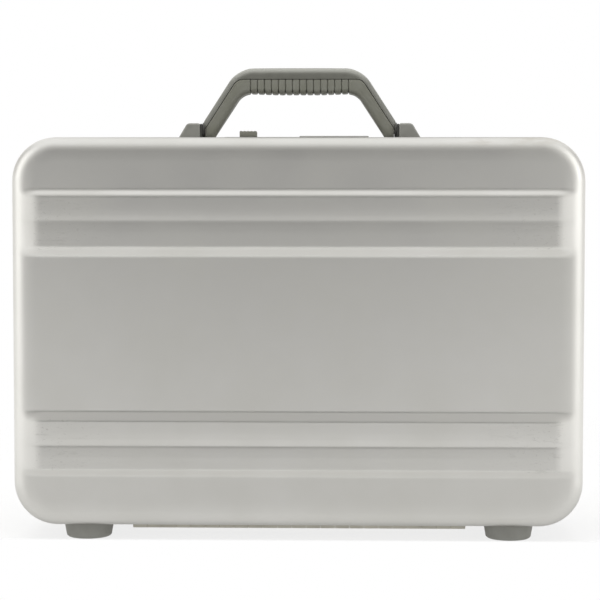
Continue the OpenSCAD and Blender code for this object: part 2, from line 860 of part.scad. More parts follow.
module lock_housing() {
    top = case_top - wall;
    slot_top = bar_z + bar_t + slide_fit;
    color(steel) difference() {
        block(lock_x0, lock_x1, housing_front, housing_back, housing_low, top);
        difference() {
            block(cavity_x0, cavity_x1, housing_front + housing_t, housing_back - housing_t,
                housing_low + housing_t, top + 1);
            block(axle_wall_x, axle_wall_x + housing_t, housing_front, housing_back,
                slot_top, top);
        }
        for (x = [finger_left_x, finger_right_x])
            block(x - slide_fit, x + finger_w + toe_l + travel + slide_fit, housing_front - 1,
                housing_front + 2 * housing_t, bar_z - slide_fit / 2, slot_top);
        rod_x(axle_wall_x - 1, cavity_x1 + lug_l / 2, handle_y, dial_z, axle_r);
        at_lock_screws() translate([0, 0, -lock_screw_l])
            cylinder(r = lock_screw_r + slip, h = lock_screw_l);
    }
}

module latch_bar() {
    color(steel) {
        block(bar_x0, bar_x1, bar_front, bar_back, bar_z, bar_z + bar_t);
        block(stem_x, stem_x + stem_w, handle_y - stem_w / 2, handle_y + stem_w / 2,
            bar_z, case_top + plate_t + slide_fit);
        for (x = [finger_left_x, finger_right_x]) {
            block(x, x + finger_w, -finger_y, bar_front + 1, bar_z, bar_z + bar_t);
            block(x, x + finger_w + toe_l, -finger_y, -finger_y + toe_t, bar_z, bar_z + bar_t);
        }
    }
}

module slide_button() {
    low = case_top + plate_t + slide_fit;
    top = case_top + button_h;
    color(plastic) difference() {
        block(button_x, button_x + button_l, handle_y - button_d / 2, handle_y + button_d / 2,
            low, top);
        for (i = [1:4]) translate([button_x + i * button_l / 5, handle_y, top])
            rotate([90, 0, 0]) cylinder(r = 0.8, h = 2 * button_d, center = true);
    }
}

module return_spring() {
    color(steel) rod_x(cavity_x0, stem_x - slide_fit, handle_y,
        bar_z + bar_t + slide_fit + spring_r, spring_r);
}

module dial_axle() {
    color(steel) rod_x(axle_wall_x, cavity_x1 + lug_l / 2, handle_y, dial_z, axle_r);
}

module dial(i) {
    x = dial_x + i * dial_pitch;
    color(plastic) difference() {
        union() {
            rod_x(x - dial_t / 2, x + dial_t / 2, handle_y, dial_z, dial_r);
            rod_x(x - hub_l / 2, x + hub_l / 2, handle_y, dial_z, hub_r);
        }
        rod_x(x - hub_l, x + hub_l, handle_y, dial_z, axle_r + axle_fit);
        for (a = [0:36:324]) translate([x, handle_y, dial_z]) rotate([a + 18, 0, 0])
            translate([0, 0, dial_r + 0.4]) rotate([0, 90, 0])
                cylinder(r = 0.9, h = dial_t + 1, center = true);
    }
}

module dial_1() {
    dial(0);
}

module dial_2() {
    dial(1);
}

module dial_3() {
    dial(2);
}

module detent_leaf() {
    back = housing_back - housing_t;
    nose = handle_y + dial_r + slide_fit;
    color(steel) {
        block(dial_x - dial_t / 2, dial_x + 2 * dial_pitch + dial_t / 2, back - detent_t, back,
            dial_z - 2 * dial_t / 3, dial_z + dial_t / 3);
        for (i = [0:2]) block(dial_x + i * dial_pitch - 1, dial_x + i * dial_pitch + 1,
            nose, back - detent_t + eps, dial_z - 1, dial_z + 1);
    }
}

// A keeper on the lid's frame: flange under the leg and a hanging plate with its window
module keeper(x) {
    top = case_top - leg_in;
    low = bar_z - 2 * slide_fit - keeper_t;
    x0 = x - slide_fit - keeper_t;
    x1 = x + finger_w + toe_l + travel + slide_fit + keeper_t;
    color(steel) to_lid() difference() {
        union() {
            block(x0, x1, keeper_y, keeper_y + keeper_t, low, top);
            block(x0, x1, keeper_y, keeper_y + keeper_l, top - keeper_t, top);
        }
        block(x0 + keeper_t, x1 - keeper_t, 0, keeper_y + keeper_l, bar_z - 2 * slide_fit,
            bar_z + bar_t + 2 * slide_fit);
    }
}

module keeper_left() {
    keeper(finger_left_x);
}

module keeper_right() {
    keeper(finger_right_x);
}

// A bracket on the frame's side leg with the stud that carries an arm
module stay_bracket(arm_x) {
    color(steel) {
        block(side_leg_x - bracket_t, side_leg_x, stay_y - bracket_w / 2, stay_y + bracket_w / 2,
            stay_z - bracket_h / 2, stay_z + bracket_h / 2);
        rod_x(arm_x - arm_plate_t - stay_gap, side_leg_x - bracket_t / 2, stay_y, stay_z, stud_r);
        rod_x(arm_x - arm_plate_t - stay_gap / 2 - stud_head_t, arm_x - arm_plate_t - stay_gap / 2,
            stay_y, stay_z, stud_head_r);
    }
}

// A flat arm that ends at arm_x, from its pivot to the elbow over the seam
module stay_arm(arm_x, pivot_r, elbow_r) {
    turn = atan2(stay_y, stay_z - hinge_z);
    color(steel) difference() {
        translate([0, stay_y, stay_z]) rotate([turn, 0, 0]) {
            block(arm_x - arm_plate_t, arm_x, -arm_w / 2, arm_w / 2, 0, stay_l);
            rod_x(arm_x - arm_plate_t, arm_x, 0, 0, arm_w / 2);
            rod_x(arm_x - arm_plate_t, arm_x, 0, stay_l, arm_w / 2);
        }
        rod_x(arm_x - 2 * arm_plate_t, arm_x + arm_plate_t, stay_y, stay_z, pivot_r);
        if (elbow_r > 0) rod_x(arm_x - 2 * arm_plate_t, arm_x + arm_plate_t, 0,
            2 * stay_z - hinge_z, elbow_r);
    }
}

// The base's arm carries the elbow pin, which passes through the lid's arm
module base_arm() {
    elbow_z = 2 * stay_z - hinge_z;
    stay_arm(base_arm_x, stud_r + stud_fit, 0);
    color(steel) {
        rod_x(base_arm_x, lid_arm_x + stay_gap / 3, 0, elbow_z, stud_r);
        rod_x(base_arm_x, lid_arm_x - arm_plate_t - stay_gap / 2, 0, elbow_z, stud_head_r);
    }
}

module lid_arm() {
    to_lid() stay_arm(lid_arm_x, stud_r + stud_fit, stud_r + elbow_fit);
}

module base_bracket_left() {
    mirror([1, 0, 0]) stay_bracket(base_arm_x);
}

module base_bracket_right() {
    stay_bracket(base_arm_x);
}

module lid_bracket_left() {
    mirror([1, 0, 0]) to_lid() stay_bracket(lid_arm_x);
}

module lid_bracket_right() {
    to_lid() stay_bracket(lid_arm_x);
}

module base_arm_left() {
    mirror([1, 0, 0]) base_arm();
}

module base_arm_right() {
    base_arm();
}

module lid_arm_left() {
    mirror([1, 0, 0]) lid_arm();
}

module lid_arm_right() {
    lid_arm();
}

module half_liner() {
    color(cloth) difference() {
        pan(liner_out, liner_y, liner_face);
        pan(liner_in, 0, liner_floor);
        children();
    }
}

// Room in the lining's rim for the stay brackets
module bracket_room() {
    both_sides() block(case_w / 2 - liner_in - 1, case_w / 2, 0, stay_y + bracket_w / 2 + liner_fit,
        stay_z - bracket_h / 2 - liner_fit, stay_z + bracket_h / 2 + liner_fit);
}

module base_liner() {
    half_liner() {
        bracket_room();
        block(lock_x0 - liner_fit, lock_x1 + liner_fit, 0, housing_back + liner_fit,
            housing_low - liner_fit, case_top);
    }
}

module lid_liner() {
    to_lid() half_liner() {
        bracket_room();
        for (x = [finger_left_x, finger_right_x]) block(x - slide_fit - keeper_t - liner_fit,
            x + finger_w + toe_l + travel + slide_fit + keeper_t + liner_fit,
            0, keeper_y + keeper_l + liner_fit, case_mid, case_top);
    }
}

// A flat pocket on the lid's lining, open towards the handle
module document_pocket() {
    y0 = -liner_floor + liner_fit;
    color(cloth) difference() {
        block(-pocket_w / 2, pocket_w / 2, y0, pocket_face, pocket_z, pocket_z + pocket_h);
        block(-pocket_w / 2 + pocket_t, pocket_w / 2 - pocket_t, y0 - 1, pocket_face - pocket_t,
            pocket_z + pocket_t, pocket_z + pocket_h + 1);
    }
}

module card_pocket() {
    z = pocket_z + card_z;
    color(cloth) block(card_x - card_w / 2, card_x + card_w / 2, pocket_face,
        pocket_face + pocket_t, z, z + card_h);
}

module pen_loops() {
    z = pocket_z + loop_z;
    color(cloth) for (i = [0:2]) translate([loop_x + i * loop_pitch, pocket_face + loop_r + loop_t, z])
        difference() {
            cylinder(r = loop_r + loop_t, h = loop_h);
            translate([0, 0, -1]) cylinder(r = loop_r, h = loop_h + 2);
        }
}

rear_shell();
front_shell();
base_frame();
lid_frame();
base_frame_rivets();
lid_frame_rivets();
gasket();
rear_foot_left();
rear_foot_right();
front_foot_left();
front_foot_right();
base_foot_screws();
lid_foot_screws();
base_foot_nuts();
lid_foot_nuts();
base_hinge_leaf();
lid_hinge_leaf();
hinge_pin();
handle_post_left();
handle_post_right();
post_screws();
handle_pins();
handle_core();
handle_cover();
handle_grip();
lock_plate();
lock_housing();
lock_screws();
latch_bar();
slide_button();
return_spring();
dial_axle();
dial_1();
dial_2();
dial_3();
detent_leaf();
keeper_left();
keeper_right();
base_bracket_left();
base_bracket_right();
lid_bracket_left();
lid_bracket_right();
base_arm_left();
base_arm_right();
lid_arm_left();
lid_arm_right();
base_liner();
lid_liner();
document_pocket();
card_pocket();
pen_loops();
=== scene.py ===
from functools import partial
from math import atan2, copysign, cos, exp, inf, pi, radians, sin, sqrt

import bmesh
import bpy
from mathutils import Matrix, Vector


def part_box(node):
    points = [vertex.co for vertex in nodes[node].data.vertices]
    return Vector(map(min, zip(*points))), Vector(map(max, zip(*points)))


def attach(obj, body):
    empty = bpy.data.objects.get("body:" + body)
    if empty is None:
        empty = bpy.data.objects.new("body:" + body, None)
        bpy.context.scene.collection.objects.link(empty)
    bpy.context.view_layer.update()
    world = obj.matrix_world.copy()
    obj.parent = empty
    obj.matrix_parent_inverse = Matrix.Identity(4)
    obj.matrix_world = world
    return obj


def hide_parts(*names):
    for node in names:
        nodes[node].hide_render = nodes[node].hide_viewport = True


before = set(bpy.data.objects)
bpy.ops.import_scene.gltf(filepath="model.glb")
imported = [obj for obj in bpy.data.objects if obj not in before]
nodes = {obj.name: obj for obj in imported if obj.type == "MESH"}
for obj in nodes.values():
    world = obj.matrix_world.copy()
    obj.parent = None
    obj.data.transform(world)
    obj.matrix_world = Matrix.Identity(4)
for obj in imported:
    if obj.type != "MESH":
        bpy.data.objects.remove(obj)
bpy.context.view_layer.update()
mm = 0.001
print("frame loaded:", len(nodes), "nodes")

# Sizes of the case in millimetres, the same as the frame's
case = {"width": 457.0, "height": 311.4, "foot": 12.6, "halfDepth": 57.5, "corner": 35.0, "cornerSteps": 14,
        "edge": 11.0, "wall": 1.3, "web": 2.6, "band": 1.1, "bandWidth": 7.0, "seam": 0.15, "legOut": 1.5,
        "legIn": 3.1, "legDepth": 16.0}
caseTop = case["foot"] + case["height"]
caseMid = case["foot"] + case["height"] / 2
lockY = 20.0  # the handle and the lock stand this far behind the seam


# Colours and material nodes

def hexColour(text):
    # an sRGB hex value as the linear colour that shaders take
    parts = [int(text[i:i + 2], 16) / 255 for i in (0, 2, 4)]
    return tuple(c / 12.92 if c <= 0.04045 else ((c + 0.055) / 1.055) ** 2.4 for c in parts) + (1.0,)


def feed(node, inputs):
    # inputs by name or in the order of the sockets; each is a value, a socket, or a node for its first output
    for key, value in inputs.items() if isinstance(inputs, dict) else enumerate(inputs):
        if isinstance(value, bpy.types.Node):
            value = value.outputs[0]
        if isinstance(value, bpy.types.NodeSocket):
            node.id_data.links.new(value, node.inputs[key])
        else:
            node.inputs[key].default_value = value


def addNode(tree, kind, inputs=(), **settings):
    # one node with its settings and links; a material's own "add" is this function with its tree filled in
    node = tree.nodes.new("ShaderNode" + kind)
    for name, value in settings.items():
        setattr(node, name, value)
    feed(node, inputs)
    return node


def newMaterial(name):
    material = bpy.data.materials.new(name)
    material.use_nodes = True
    add = partial(addNode, material.node_tree)
    return material, add, material.node_tree.nodes["Principled BSDF"], add("TexCoord").outputs["Object"]


def driftTones(add, patches, tones, low=0.3, high=0.7):
    # a colour that goes from one tone to the other with the patches' value
    share = add("MapRange", [patches, low, high, 0.0, 1.0])
    return add("Mix", {0: share, 6: hexColour(tones[0]), 7: hexColour(tones[1])}, data_type="RGBA").outputs[2]


# Wear of the shells. Patterns: noise size in mm, stretch along X, detail, roughness and the range that shows.
# Areas: colour, strength, how much duller, and the axes along which it begins, in metres
wear = {"patterns": {"streaks": (5, 0.25, 5.0, 0.65, 0.56, 0.72), "specks": (1.6, 0.5, 3.0, 0.6, 0.60, 0.72),
                     "stain": (14, 0.35, 4.0, 0.6, 0.52, 0.68)},
        "crests": ("8d8a83", 0.24, 0.08, (("X", 0.135, 0.200), ("Y", 0.0590, 0.0602))),
        "top": ("a99d86", 0.30, 0.0, (("X", 0.090, 0.150), ("Z", 0.3130, 0.3225)))}


def addWear(add, where, colour, rough):
    # rubbed rib crests towards both ends and a yellowed patch on the top's right
    marks = {}
    for name, (size, stretch, detail, harsh, low, high) in wear["patterns"].items():
        placed = add("Mapping", {"Vector": where, "Scale": (stretch, 1, 1)})
        noise = add("TexNoise", {"Vector": placed, "Scale": 1 / (size * mm), "Detail": detail,
                                 "Roughness": harsh})
        marks[name] = add("MapRange", [noise, low, high, 0.0, 1.0])
    rubbed = add("Math", [marks["streaks"], marks["specks"]], operation="MAXIMUM")
    spot = add("SeparateXYZ", [where]).outputs
    for name, worn in (("crests", rubbed), ("top", marks["stain"])):
        tone, share, duller, begins = wear[name]
        for axis, low, high in begins:
            place = spot[axis]
            if name == "crests":
                place = add("Math", [place], operation="ABSOLUTE")
            within = add("MapRange", [place, low, high, 0.0, 1.0])
            worn = add("Math", [worn, within], operation="MULTIPLY")
        amount = add("Math", [worn, share], operation="MULTIPLY")
        colour = add("Mix", {0: amount, 6: colour, 7: hexColour(tone)}, data_type="RGBA").outputs[2]
        rough = add("Math", [worn, duller, rough], operation="MULTIPLY_ADD")
    return colour, rough


# Finishes. cloud and grain: size in mm and detail; drift: the cloud's range from tone to tone; stretch: the
# grain's along X; lift: the grain's height in mm and strength; sheen: the pattern that the roughness follows,
# its range, and how far the roughness goes down and up
finishes = {
    # sheet or extrusion, matt anodised: a soft, milky metal with faint cloudiness and a rolled grain along X,
    # drawn coarser than the real one to show
    "anodised": {"metallic": 1.0, "rough": 0.41, "cloud": (60, 2.0), "drift": (0.3, 0.7), "grain": (0.5, 2.0),
                 "stretch": 0.02, "lift": (0.004, 0.5), "sheen": ("cloud", 0.3, 0.7, -0.02, 0.02)},
    # moulded glass-filled nylon and paint: dull, with a fine spark-eroded grain
    "moulded": {"metallic": 0.0, "rough": 0.48, "cloud": (9, 3.0), "drift": (0.3, 0.7), "grain": (0.7, 2.0),
                "lift": (0.05, 0.6), "sheen": ("grain", 0.2, 0.8, -0.05, 0.07), "ior": 1.53},
    # stamped strip steel, nickel or zinc plated: bright with faint rolling lines 0.6 mm apart
    "plated": {"metallic": 1.0, "rough": 0.32, "cloud": (12, 3.0), "drift": (0.35, 0.7), "grain": (0.6, 2.0),
               "stretch": 0.06, "lift": (0.01, 0.5), "sheen": ("grain", 0.2, 0.8, -0.05, 0.06)},
    # extruded cellular rubber: matt, with dust in patches 3 mm across and cells of 0.5 mm
    "rubber": {"metallic": 0.0, "rough": 0.70, "cloud": (3, 4.0), "drift": (0.45, 0.75), "grain": (0.5, 3.0),
               "lift": (0.03, 0.5), "sheen": ("cloud", 0.3, 0.7, -0.08, 0.08)},
    # coated fabric pressed with a pebble grain 1.2 mm across, creased over about 18 mm
    "pebbled": {"metallic": 0.0, "rough": 0.52, "cloud": (18, 4.0), "drift": (0.3, 0.7), "grain": (1.2, None),
                "lift": (-0.12, 0.7), "sheen": ("grain", 0.0, 0.8, -0.10, 0.10)}}


def coatWith(kind, name, tones, worn=False, paintedTopHighlight=None, **changes):
    # a material in one of the finishes, with its own values where they differ
    finish = {**finishes[kind], **changes}
    material, add, shader, where = newMaterial(name)
    drawn, (size, detail) = where, finish["grain"]
    if "stretch" in finish:
        drawn = add("Mapping", {"Vector": where, "Scale": (finish["stretch"], 1, 1)})
    if detail is None:
        grain = add("TexVoronoi", {"Vector": drawn, "Scale": 1 / (size * mm)}, feature="SMOOTH_F1")
    else:
        grain = add("TexNoise", {"Vector": drawn, "Scale": 1 / (size * mm), "Detail": detail})
    size, detail = finish["cloud"]
    cloud = add("TexNoise", {"Vector": where, "Scale": 1 / (size * mm), "Detail": detail})
    colour = driftTones(add, cloud, tones, *finish["drift"])
    follows, low, high, down, up = finish["sheen"]
    rough = add("MapRange", [grain if follows == "grain" else cloud, low, high, finish["rough"] + down,
                             finish["rough"] + up])
    if worn:
        colour, rough = addWear(add, where, colour, rough)
    if paintedTopHighlight:  # painted highlight: lighter where the surface faces up, as if lit from above
        upward = add("SeparateXYZ", [add("TexCoord").outputs["Normal"]]).outputs["Z"]
        share = add("MapRange", [upward, 0.2, 0.9, 0.0, 1.0])
        colour = add("Mix", {0: share, 6: colour, 7: hexColour(paintedTopHighlight)}, data_type="RGBA").outputs[2]
    height, strength = finish["lift"]
    bump = add("Bump", {"Height": grain, "Distance": height * mm, "Strength": strength})
    feed(shader, {"Metallic": finish["metallic"], "Base Color": colour, "Roughness": rough, "Normal": bump})
    if "ior" in finish:
        feed(shader, {"IOR": finish["ior"]})
    return material


cloth = {"thread": 0.9, "wobble": 0.6, "slub": 7, "stretch": 0.2, "lift": (0.12, 0.7), "rough": 0.85,
         "sheen": (0.25, 0.5)}


def wovenLining(name, tones):
    # plain woven rayon on board: crossed threads 0.9 mm apart, drawn twice the real size to show, with
    # slubs 7 mm across drawn out along X
    material, add, shader, where = newMaterial(name)
    warp, weft = (add("TexWave", {"Vector": where, "Scale": 0.5 / (cloth["thread"] * mm),
                                  "Distortion": cloth["wobble"], "Detail": 1.0},
                      wave_type="BANDS", bands_direction=direction) for direction in "XZ")
    weave = add("Math", [warp.outputs["Fac"], weft.outputs["Fac"]], operation="MULTIPLY")
    drawn = add("Mapping", {"Vector": where, "Scale": (cloth["stretch"], 1, 1)})
    slub = add("TexNoise", {"Vector": drawn, "Scale": 1 / (cloth["slub"] * mm), "Detail": 3.0})
    thread = driftTones(add, slub, tones)
    # the hollows between the threads take the darkest tone: painted shade between the threads
    crown = add("MapRange", [weave, 0.0, 0.6, 0.0, 1.0])
    colour = add("Mix", {0: crown, 6: hexColour(tones[2]), 7: thread}, data_type="RGBA").outputs[2]
    (height, strength), (fuzz, fuzzRough) = cloth["lift"], cloth["sheen"]
    bump = add("Bump", {"Height": weave, "Distance": height * mm, "Strength": strength})
    feed(shader, {"Metallic": 0.0, "Roughness": cloth["rough"], "Sheen Weight": fuzz,
                  "Sheen Roughness": fuzzRough, "Base Color": colour, "Normal": bump})
    return material


shellMetal = coatWith("anodised", "satinAnodisedSheet", ("e6e5e1", "e1e0db"), worn=True)
frameMetal = coatWith("anodised", "satinAnodisedExtrusion", ("e4e3df", "dedddc"))
nylon = coatWith("moulded", "greyMouldedNylon", ("747469", "7b7b72"))
# the handle's cover: its top takes a painted highlight in a paler tone
coverNylon = coatWith("moulded", "darkGreyMouldedNylon", ("63635c", "6a6a63"), rough=0.3, paintedTopHighlight="898982")
postNylon = coatWith("moulded", "paleGreyMouldedNylon", ("787872", "80807a"))
# near-black nylon for the cheeks and washers: painted shade in the gap between post and handle leg
gapShadeNylon = coatWith("moulded", "charcoalNylonCheek", ("3c3c39", "434340"), rough=0.5)
footPlastic = coatWith("moulded", "greyMouldedFoot", ("8f8e87", "96958e"), rough=0.55, grain=(0.9, 2.0),
                       lift=(0.06, 0.6))
lacquer = coatWith("moulded", "greyLacqueredCasting", ("8b8b86", "93938e"), rough=0.36, grain=(0.5, 2.0),
                   lift=(0.02, 0.6))
dialBlack = coatWith("moulded", "blackAcetalDial", ("1b1b1c", "222223"), rough=0.38, grain=(0.5, 2.0),
                     lift=(0.01, 0.6))
numberWhite = coatWith("moulded", "whiteNumberPaint", ("e9e8e4", "dfdeda"), rough=0.5, grain=(0.5, 2.0),
                       lift=(0.01, 0.6))
stitchThread = coatWith("moulded", "greyPolyesterThread", ("55554f", "4b4b46"), rough=0.7, grain=(0.3, 2.0),
                        lift=(0.02, 0.6))
coatWith("plated", "satinAluminiumHinge", ("e0ddd1", "d5d2c6"), rough=0.6)
coatWith("plated", "nickelPlatedStrip", ("b9b7b0", "a9a79f"))
zincSteel = coatWith("plated", "zincPlatedSteel", ("b4b4b2", "a2a2a0"), rough=0.36)
sealRubber = coatWith("rubber", "blackSealRubber", ("19191a", "232322"))
leatherette = coatWith("pebbled", "blackLeatherette", ("1d1c1c", "262524"))
lining = wovenLining("darkGreyLiningCloth", ("4c4d52", "434449", "2a2b2e"))
print("materials made")


# Mesh helpers

def addItem(name, data):
    item = bpy.data.objects.new(name, data)
    bpy.context.scene.collection.objects.link(item)
    return item


def meshFrom(name, bm, unit=1.0):
    bmesh.ops.scale(bm, vec=(unit, unit, unit), verts=bm.verts)
    mesh = bpy.data.meshes.new(name)
    bm.to_mesh(mesh)
    bm.free()
    return mesh


def finishPiece(name, bm, material, body, replaces=(), angle=35.0):
    # closes a bmesh into an object in metres that rides on its body
    mesh = meshFrom(name, bm, mm)
    piece = addItem(name, mesh)
    mesh.materials.append(material)
    mesh.shade_smooth()
    mesh.set_sharp_from_angle(angle=radians(angle))
    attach(piece, body)
    if replaces:
        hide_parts(*replaces)
    return piece


def applyBoolean(piece, bm, operation):
    # joins or cuts with a bmesh in millimetres and takes the result as the piece's own mesh
    cutter = addItem("cutter", meshFrom("cutter", bm, mm))
    change = piece.modifiers.new("cut", "BOOLEAN")
    change.operation = operation
    change.solver = "EXACT"
    change.object = cutter
    bpy.context.view_layer.update()
    depsgraph = bpy.context.evaluated_depsgraph_get()
    result = bpy.data.meshes.new_from_object(piece.evaluated_get(depsgraph))
    piece.modifiers.remove(change)
    piece.data = result
    bpy.data.objects.remove(cutter)


def useBlock(piece, operation, *block):
    bm = bmesh.new()
    addBlock(bm, *block)
    applyBoolean(piece, bm, operation)


def everything(bm):
    return bm.verts[:] + bm.edges[:] + bm.faces[:]


def facingOut(bm):
    bmesh.ops.recalc_face_normals(bm, faces=bm.faces[:])


def cutAt(bm, axis, places, chosen=None):
    # cuts the mesh, or its chosen faces, square to an axis at each place
    normal = Vector([1.0 if a == axis else 0.0 for a in "XYZ"])
    for place in places:
        geom = everything(bm)
        if chosen:
            geom = list(dict.fromkeys(g for f in bm.faces if chosen(f) for g in (f, *f.edges, *f.verts)))
        bmesh.ops.bisect_plane(bm, geom=geom, plane_co=normal * place, plane_no=normal, dist=1e-4)


def dropFaces(bm, low, high):
    # deletes the faces whose middles lie between two corners
    gone = [f for f in bm.faces if all(a < c < b for a, c, b in zip(low, f.calc_center_median(), high))]
    bmesh.ops.delete(bm, geom=gone, context="FACES")


def roundOff(bm, geom, radius, segments, affect="EDGES", clamp=False):
    bmesh.ops.bevel(bm, geom=geom, offset=radius, offset_type="OFFSET", segments=segments, profile=0.5,
                    affect=affect, clamp_overlap=clamp, material=-1)


def addSheet(bm, size, place, raised=90, turn=0):
    # a rectangle raised upright about X and turned about Z, in degrees
    made = bmesh.ops.create_grid(bm, x_segments=1, y_segments=1, size=0.5)["verts"]
    bmesh.ops.scale(bm, vec=(*size, 1), verts=made)
    stand = Matrix.Rotation(radians(turn), 3, "Z") @ Matrix.Rotation(radians(raised), 3, "X")
    bmesh.ops.rotate(bm, matrix=stand, verts=made)
    bmesh.ops.translate(bm, vec=place, verts=made)
    return made


def quarterTurns(steps):
    return [pi / 2 * i / steps for i in range(steps + 1)]


def addOutline(bm, inset, y):
    # the case's rounded outline at one depth, as its vertices in order round the middle
    before = set(bm.faces)
    made = addSheet(bm, (case["width"] - 2 * inset, case["height"] - 2 * inset), (0, y, caseMid))
    roundOff(bm, made, case["corner"] - inset, case["cornerSteps"], "VERTICES")
    face = [f for f in bm.faces if f not in before][0]
    loop = sorted(face.verts, key=lambda v: atan2(v.co.z - caseMid, v.co.x))
    bmesh.ops.delete(bm, geom=[face], context="FACES_ONLY")
    return loop


def bridge(bm, first, second):
    for quad in zip(first, first[1:] + first[:1], second[1:] + second[:1], second):
        bm.faces.new(quad)


def sweepOutline(bm, stations, closed):
    # bridges the outlines at (inset, depth) stations into a wall round the case
    loops = [addOutline(bm, inset, y) for inset, y in stations]
    pairs = list(zip(loops, loops[1:]))
    if closed:
        pairs.append((loops[-1], loops[0]))
    for first, second in pairs:
        bridge(bm, first, second)
    return loops


def towardsLid(bm):
    # turns a piece made for the base half into the lid's
    bmesh.ops.scale(bm, vec=(1, -1, 1), verts=bm.verts)
    bmesh.ops.reverse_faces(bm, faces=bm.faces[:])


def thicken(bm, depth):
    made = bmesh.ops.extrude_face_region(bm, geom=bm.faces[:])["geom"]
    bmesh.ops.translate(bm, vec=(0, depth, 0), verts=[g for g in made if isinstance(g, bmesh.types.BMVert)])
    facingOut(bm)


def plateFrom(bm, points, y0, y1):
    # a flat outline in X and Z given its thickness from y0 to y1
    bm.faces.new([bm.verts.new((x, y0, z)) for x, z in points])
    thicken(bm, y1 - y0)


def addBlock(bm, low, high, soft=0.0, segments=2):
    # a box between two corners with rounded edges
    made = bmesh.ops.create_cube(bm, size=1.0)["verts"]
    low, high = Vector(low), Vector(high)
    bmesh.ops.scale(bm, vec=high - low, verts=made)
    bmesh.ops.translate(bm, vec=(low + high) / 2, verts=made)
    if soft:
        roundOff(bm, list({e for v in made for e in v.link_edges}), soft, segments)


def spinProfile(bm, points, centre, axis, steps=48):
    # turns an open profile of (radius, along) points about an axis through centre
    axis = Vector(axis)
    side = Vector((0, 0, 1)) if abs(axis.z) < 0.5 else Vector((1, 0, 0))
    verts = [bm.verts.new(Vector(centre) + side * r + axis * h) for r, h in points]
    edges = [bm.edges.new(pair) for pair in zip(verts, verts[1:])]
    bmesh.ops.spin(bm, geom=verts + edges, cent=centre, axis=axis, angle=2 * pi, steps=steps,
                   use_merge=True)
    bmesh.ops.remove_doubles(bm, verts=bm.verts[:], dist=1e-4)
    facingOut(bm)


# Camera, lamps and surroundings

camera = {"place": (35.5, -1453.3, 270.9), "yaw": -1.37, "pitch": 3.12, "roll": -0.03, "lens": 105.67,
          "sensor": 36.0, "reach": 50}


def placeCamera():
    data = bpy.data.cameras.new("camera")
    data.lens = camera["lens"]
    data.sensor_width = camera["sensor"]
    data.clip_end = camera["reach"]
    item = addItem("camera", data)
    turn = (Matrix.Rotation(radians(-camera["yaw"]), 4, "Z")
            @ Matrix.Rotation(radians(90 - camera["pitch"]), 4, "X")
            @ Matrix.Rotation(radians(-camera["roll"]), 4, "Z"))
    item.matrix_world = Matrix.Translation(Vector(camera["place"]) * mm) @ turn
    bpy.context.scene.camera = item


lamps = {"overhead": {"place": (-0.2, -0.5, 2.3), "size": (2.2, 1.6), "power": 58},
         "left": {"place": (-2.2, -0.9, 1.1), "size": (1.6, 2.0), "power": 9},
         "right": {"place": (2.2, -0.9, 1.1), "size": (1.6, 2.0), "power": 11}}
lampAim = Vector((0, 0, 0.17))


def addLamps():
    for name, lamp in lamps.items():
        light = bpy.data.lights.new(name, "AREA")
        light.shape = "RECTANGLE"
        light.size, light.size_y = lamp["size"]
        light.energy = lamp["power"]
        item = addItem(name, light)
        item.visible_glossy = name != "overhead"
        item.location = lamp["place"]
        item.rotation_euler = (lampAim - item.location).to_track_quat("-Z", "Y").to_euler()


# Ranges run from and to a distance in metres, then give the values there
surround = {"sky": ("f4f6f8", 0.75), "white": "ffffff", "floor": "dcdbd9", "floorSize": 6.0, "mirrored": 0.7,
            "sideGlow": (0.15, 0.7, 0.5, 1.1), "frontGlow": (0.15, 0.8, 0.6, 0.78),
            "fade": (0.28, 0.9, 0.80, 1.0), "opening": (-0.01, -0.05, 0.0, 1.0),
            "card": (1.0, 0.99, 0.97, 1.0), "cardSize": (6.0, 4.1),
            "cards": {"frontCard": ((0, -3.0, 1.95), 0), "rearCard": ((0, 3.4, 1.95), 0),
                      "leftCard": ((-3.4, 0, 1.95), 90), "rightCard": ((3.4, 0, 1.95), 90)},
            "cardGlow": {"middle": ("Z", 0.8, 2.8, 0.0, 0.5), "right": ("X", 0.35, 1.9, 0.0, 0.85),
                         "left": ("X", -0.75, -2.3, 0.0, 0.85), "most": ("Z", 0.35, 1.3, 1.0, 0.6),
                         "behind": ("Y", 3.35, 3.39, 0.0, 1.0)},
            "outlineGlow": (0.62, 0.85, 0.0, 1.0)}  # the case's outline mirrors this


def stageMesh(name, bm, material):
    mesh = meshFrom(name, bm)
    mesh.materials.append(material)
    item = addItem(name, mesh)


def addWorld():
    # soft light from the sky; white to the camera and to mirror rays
    world = bpy.data.worlds.new("studio")
    bpy.context.scene.world = world
    world.use_nodes = True
    world.node_tree.nodes.clear()
    add = partial(addNode, world.node_tree)
    rays = add("LightPath").outputs
    mirrored = add("Math", [rays["Is Glossy Ray"], rays["Is Transmission Ray"]], operation="MAXIMUM")
    seen = add("Math", [rays["Is Camera Ray"], mirrored], operation="MAXIMUM")
    tone, strength = surround["sky"]
    soft = add("Background", [hexColour(tone), strength])
    white = add("Background", [hexColour(surround["white"]), 1.0])
    add("OutputWorld", [add("MixShader", [seen, soft, white])])


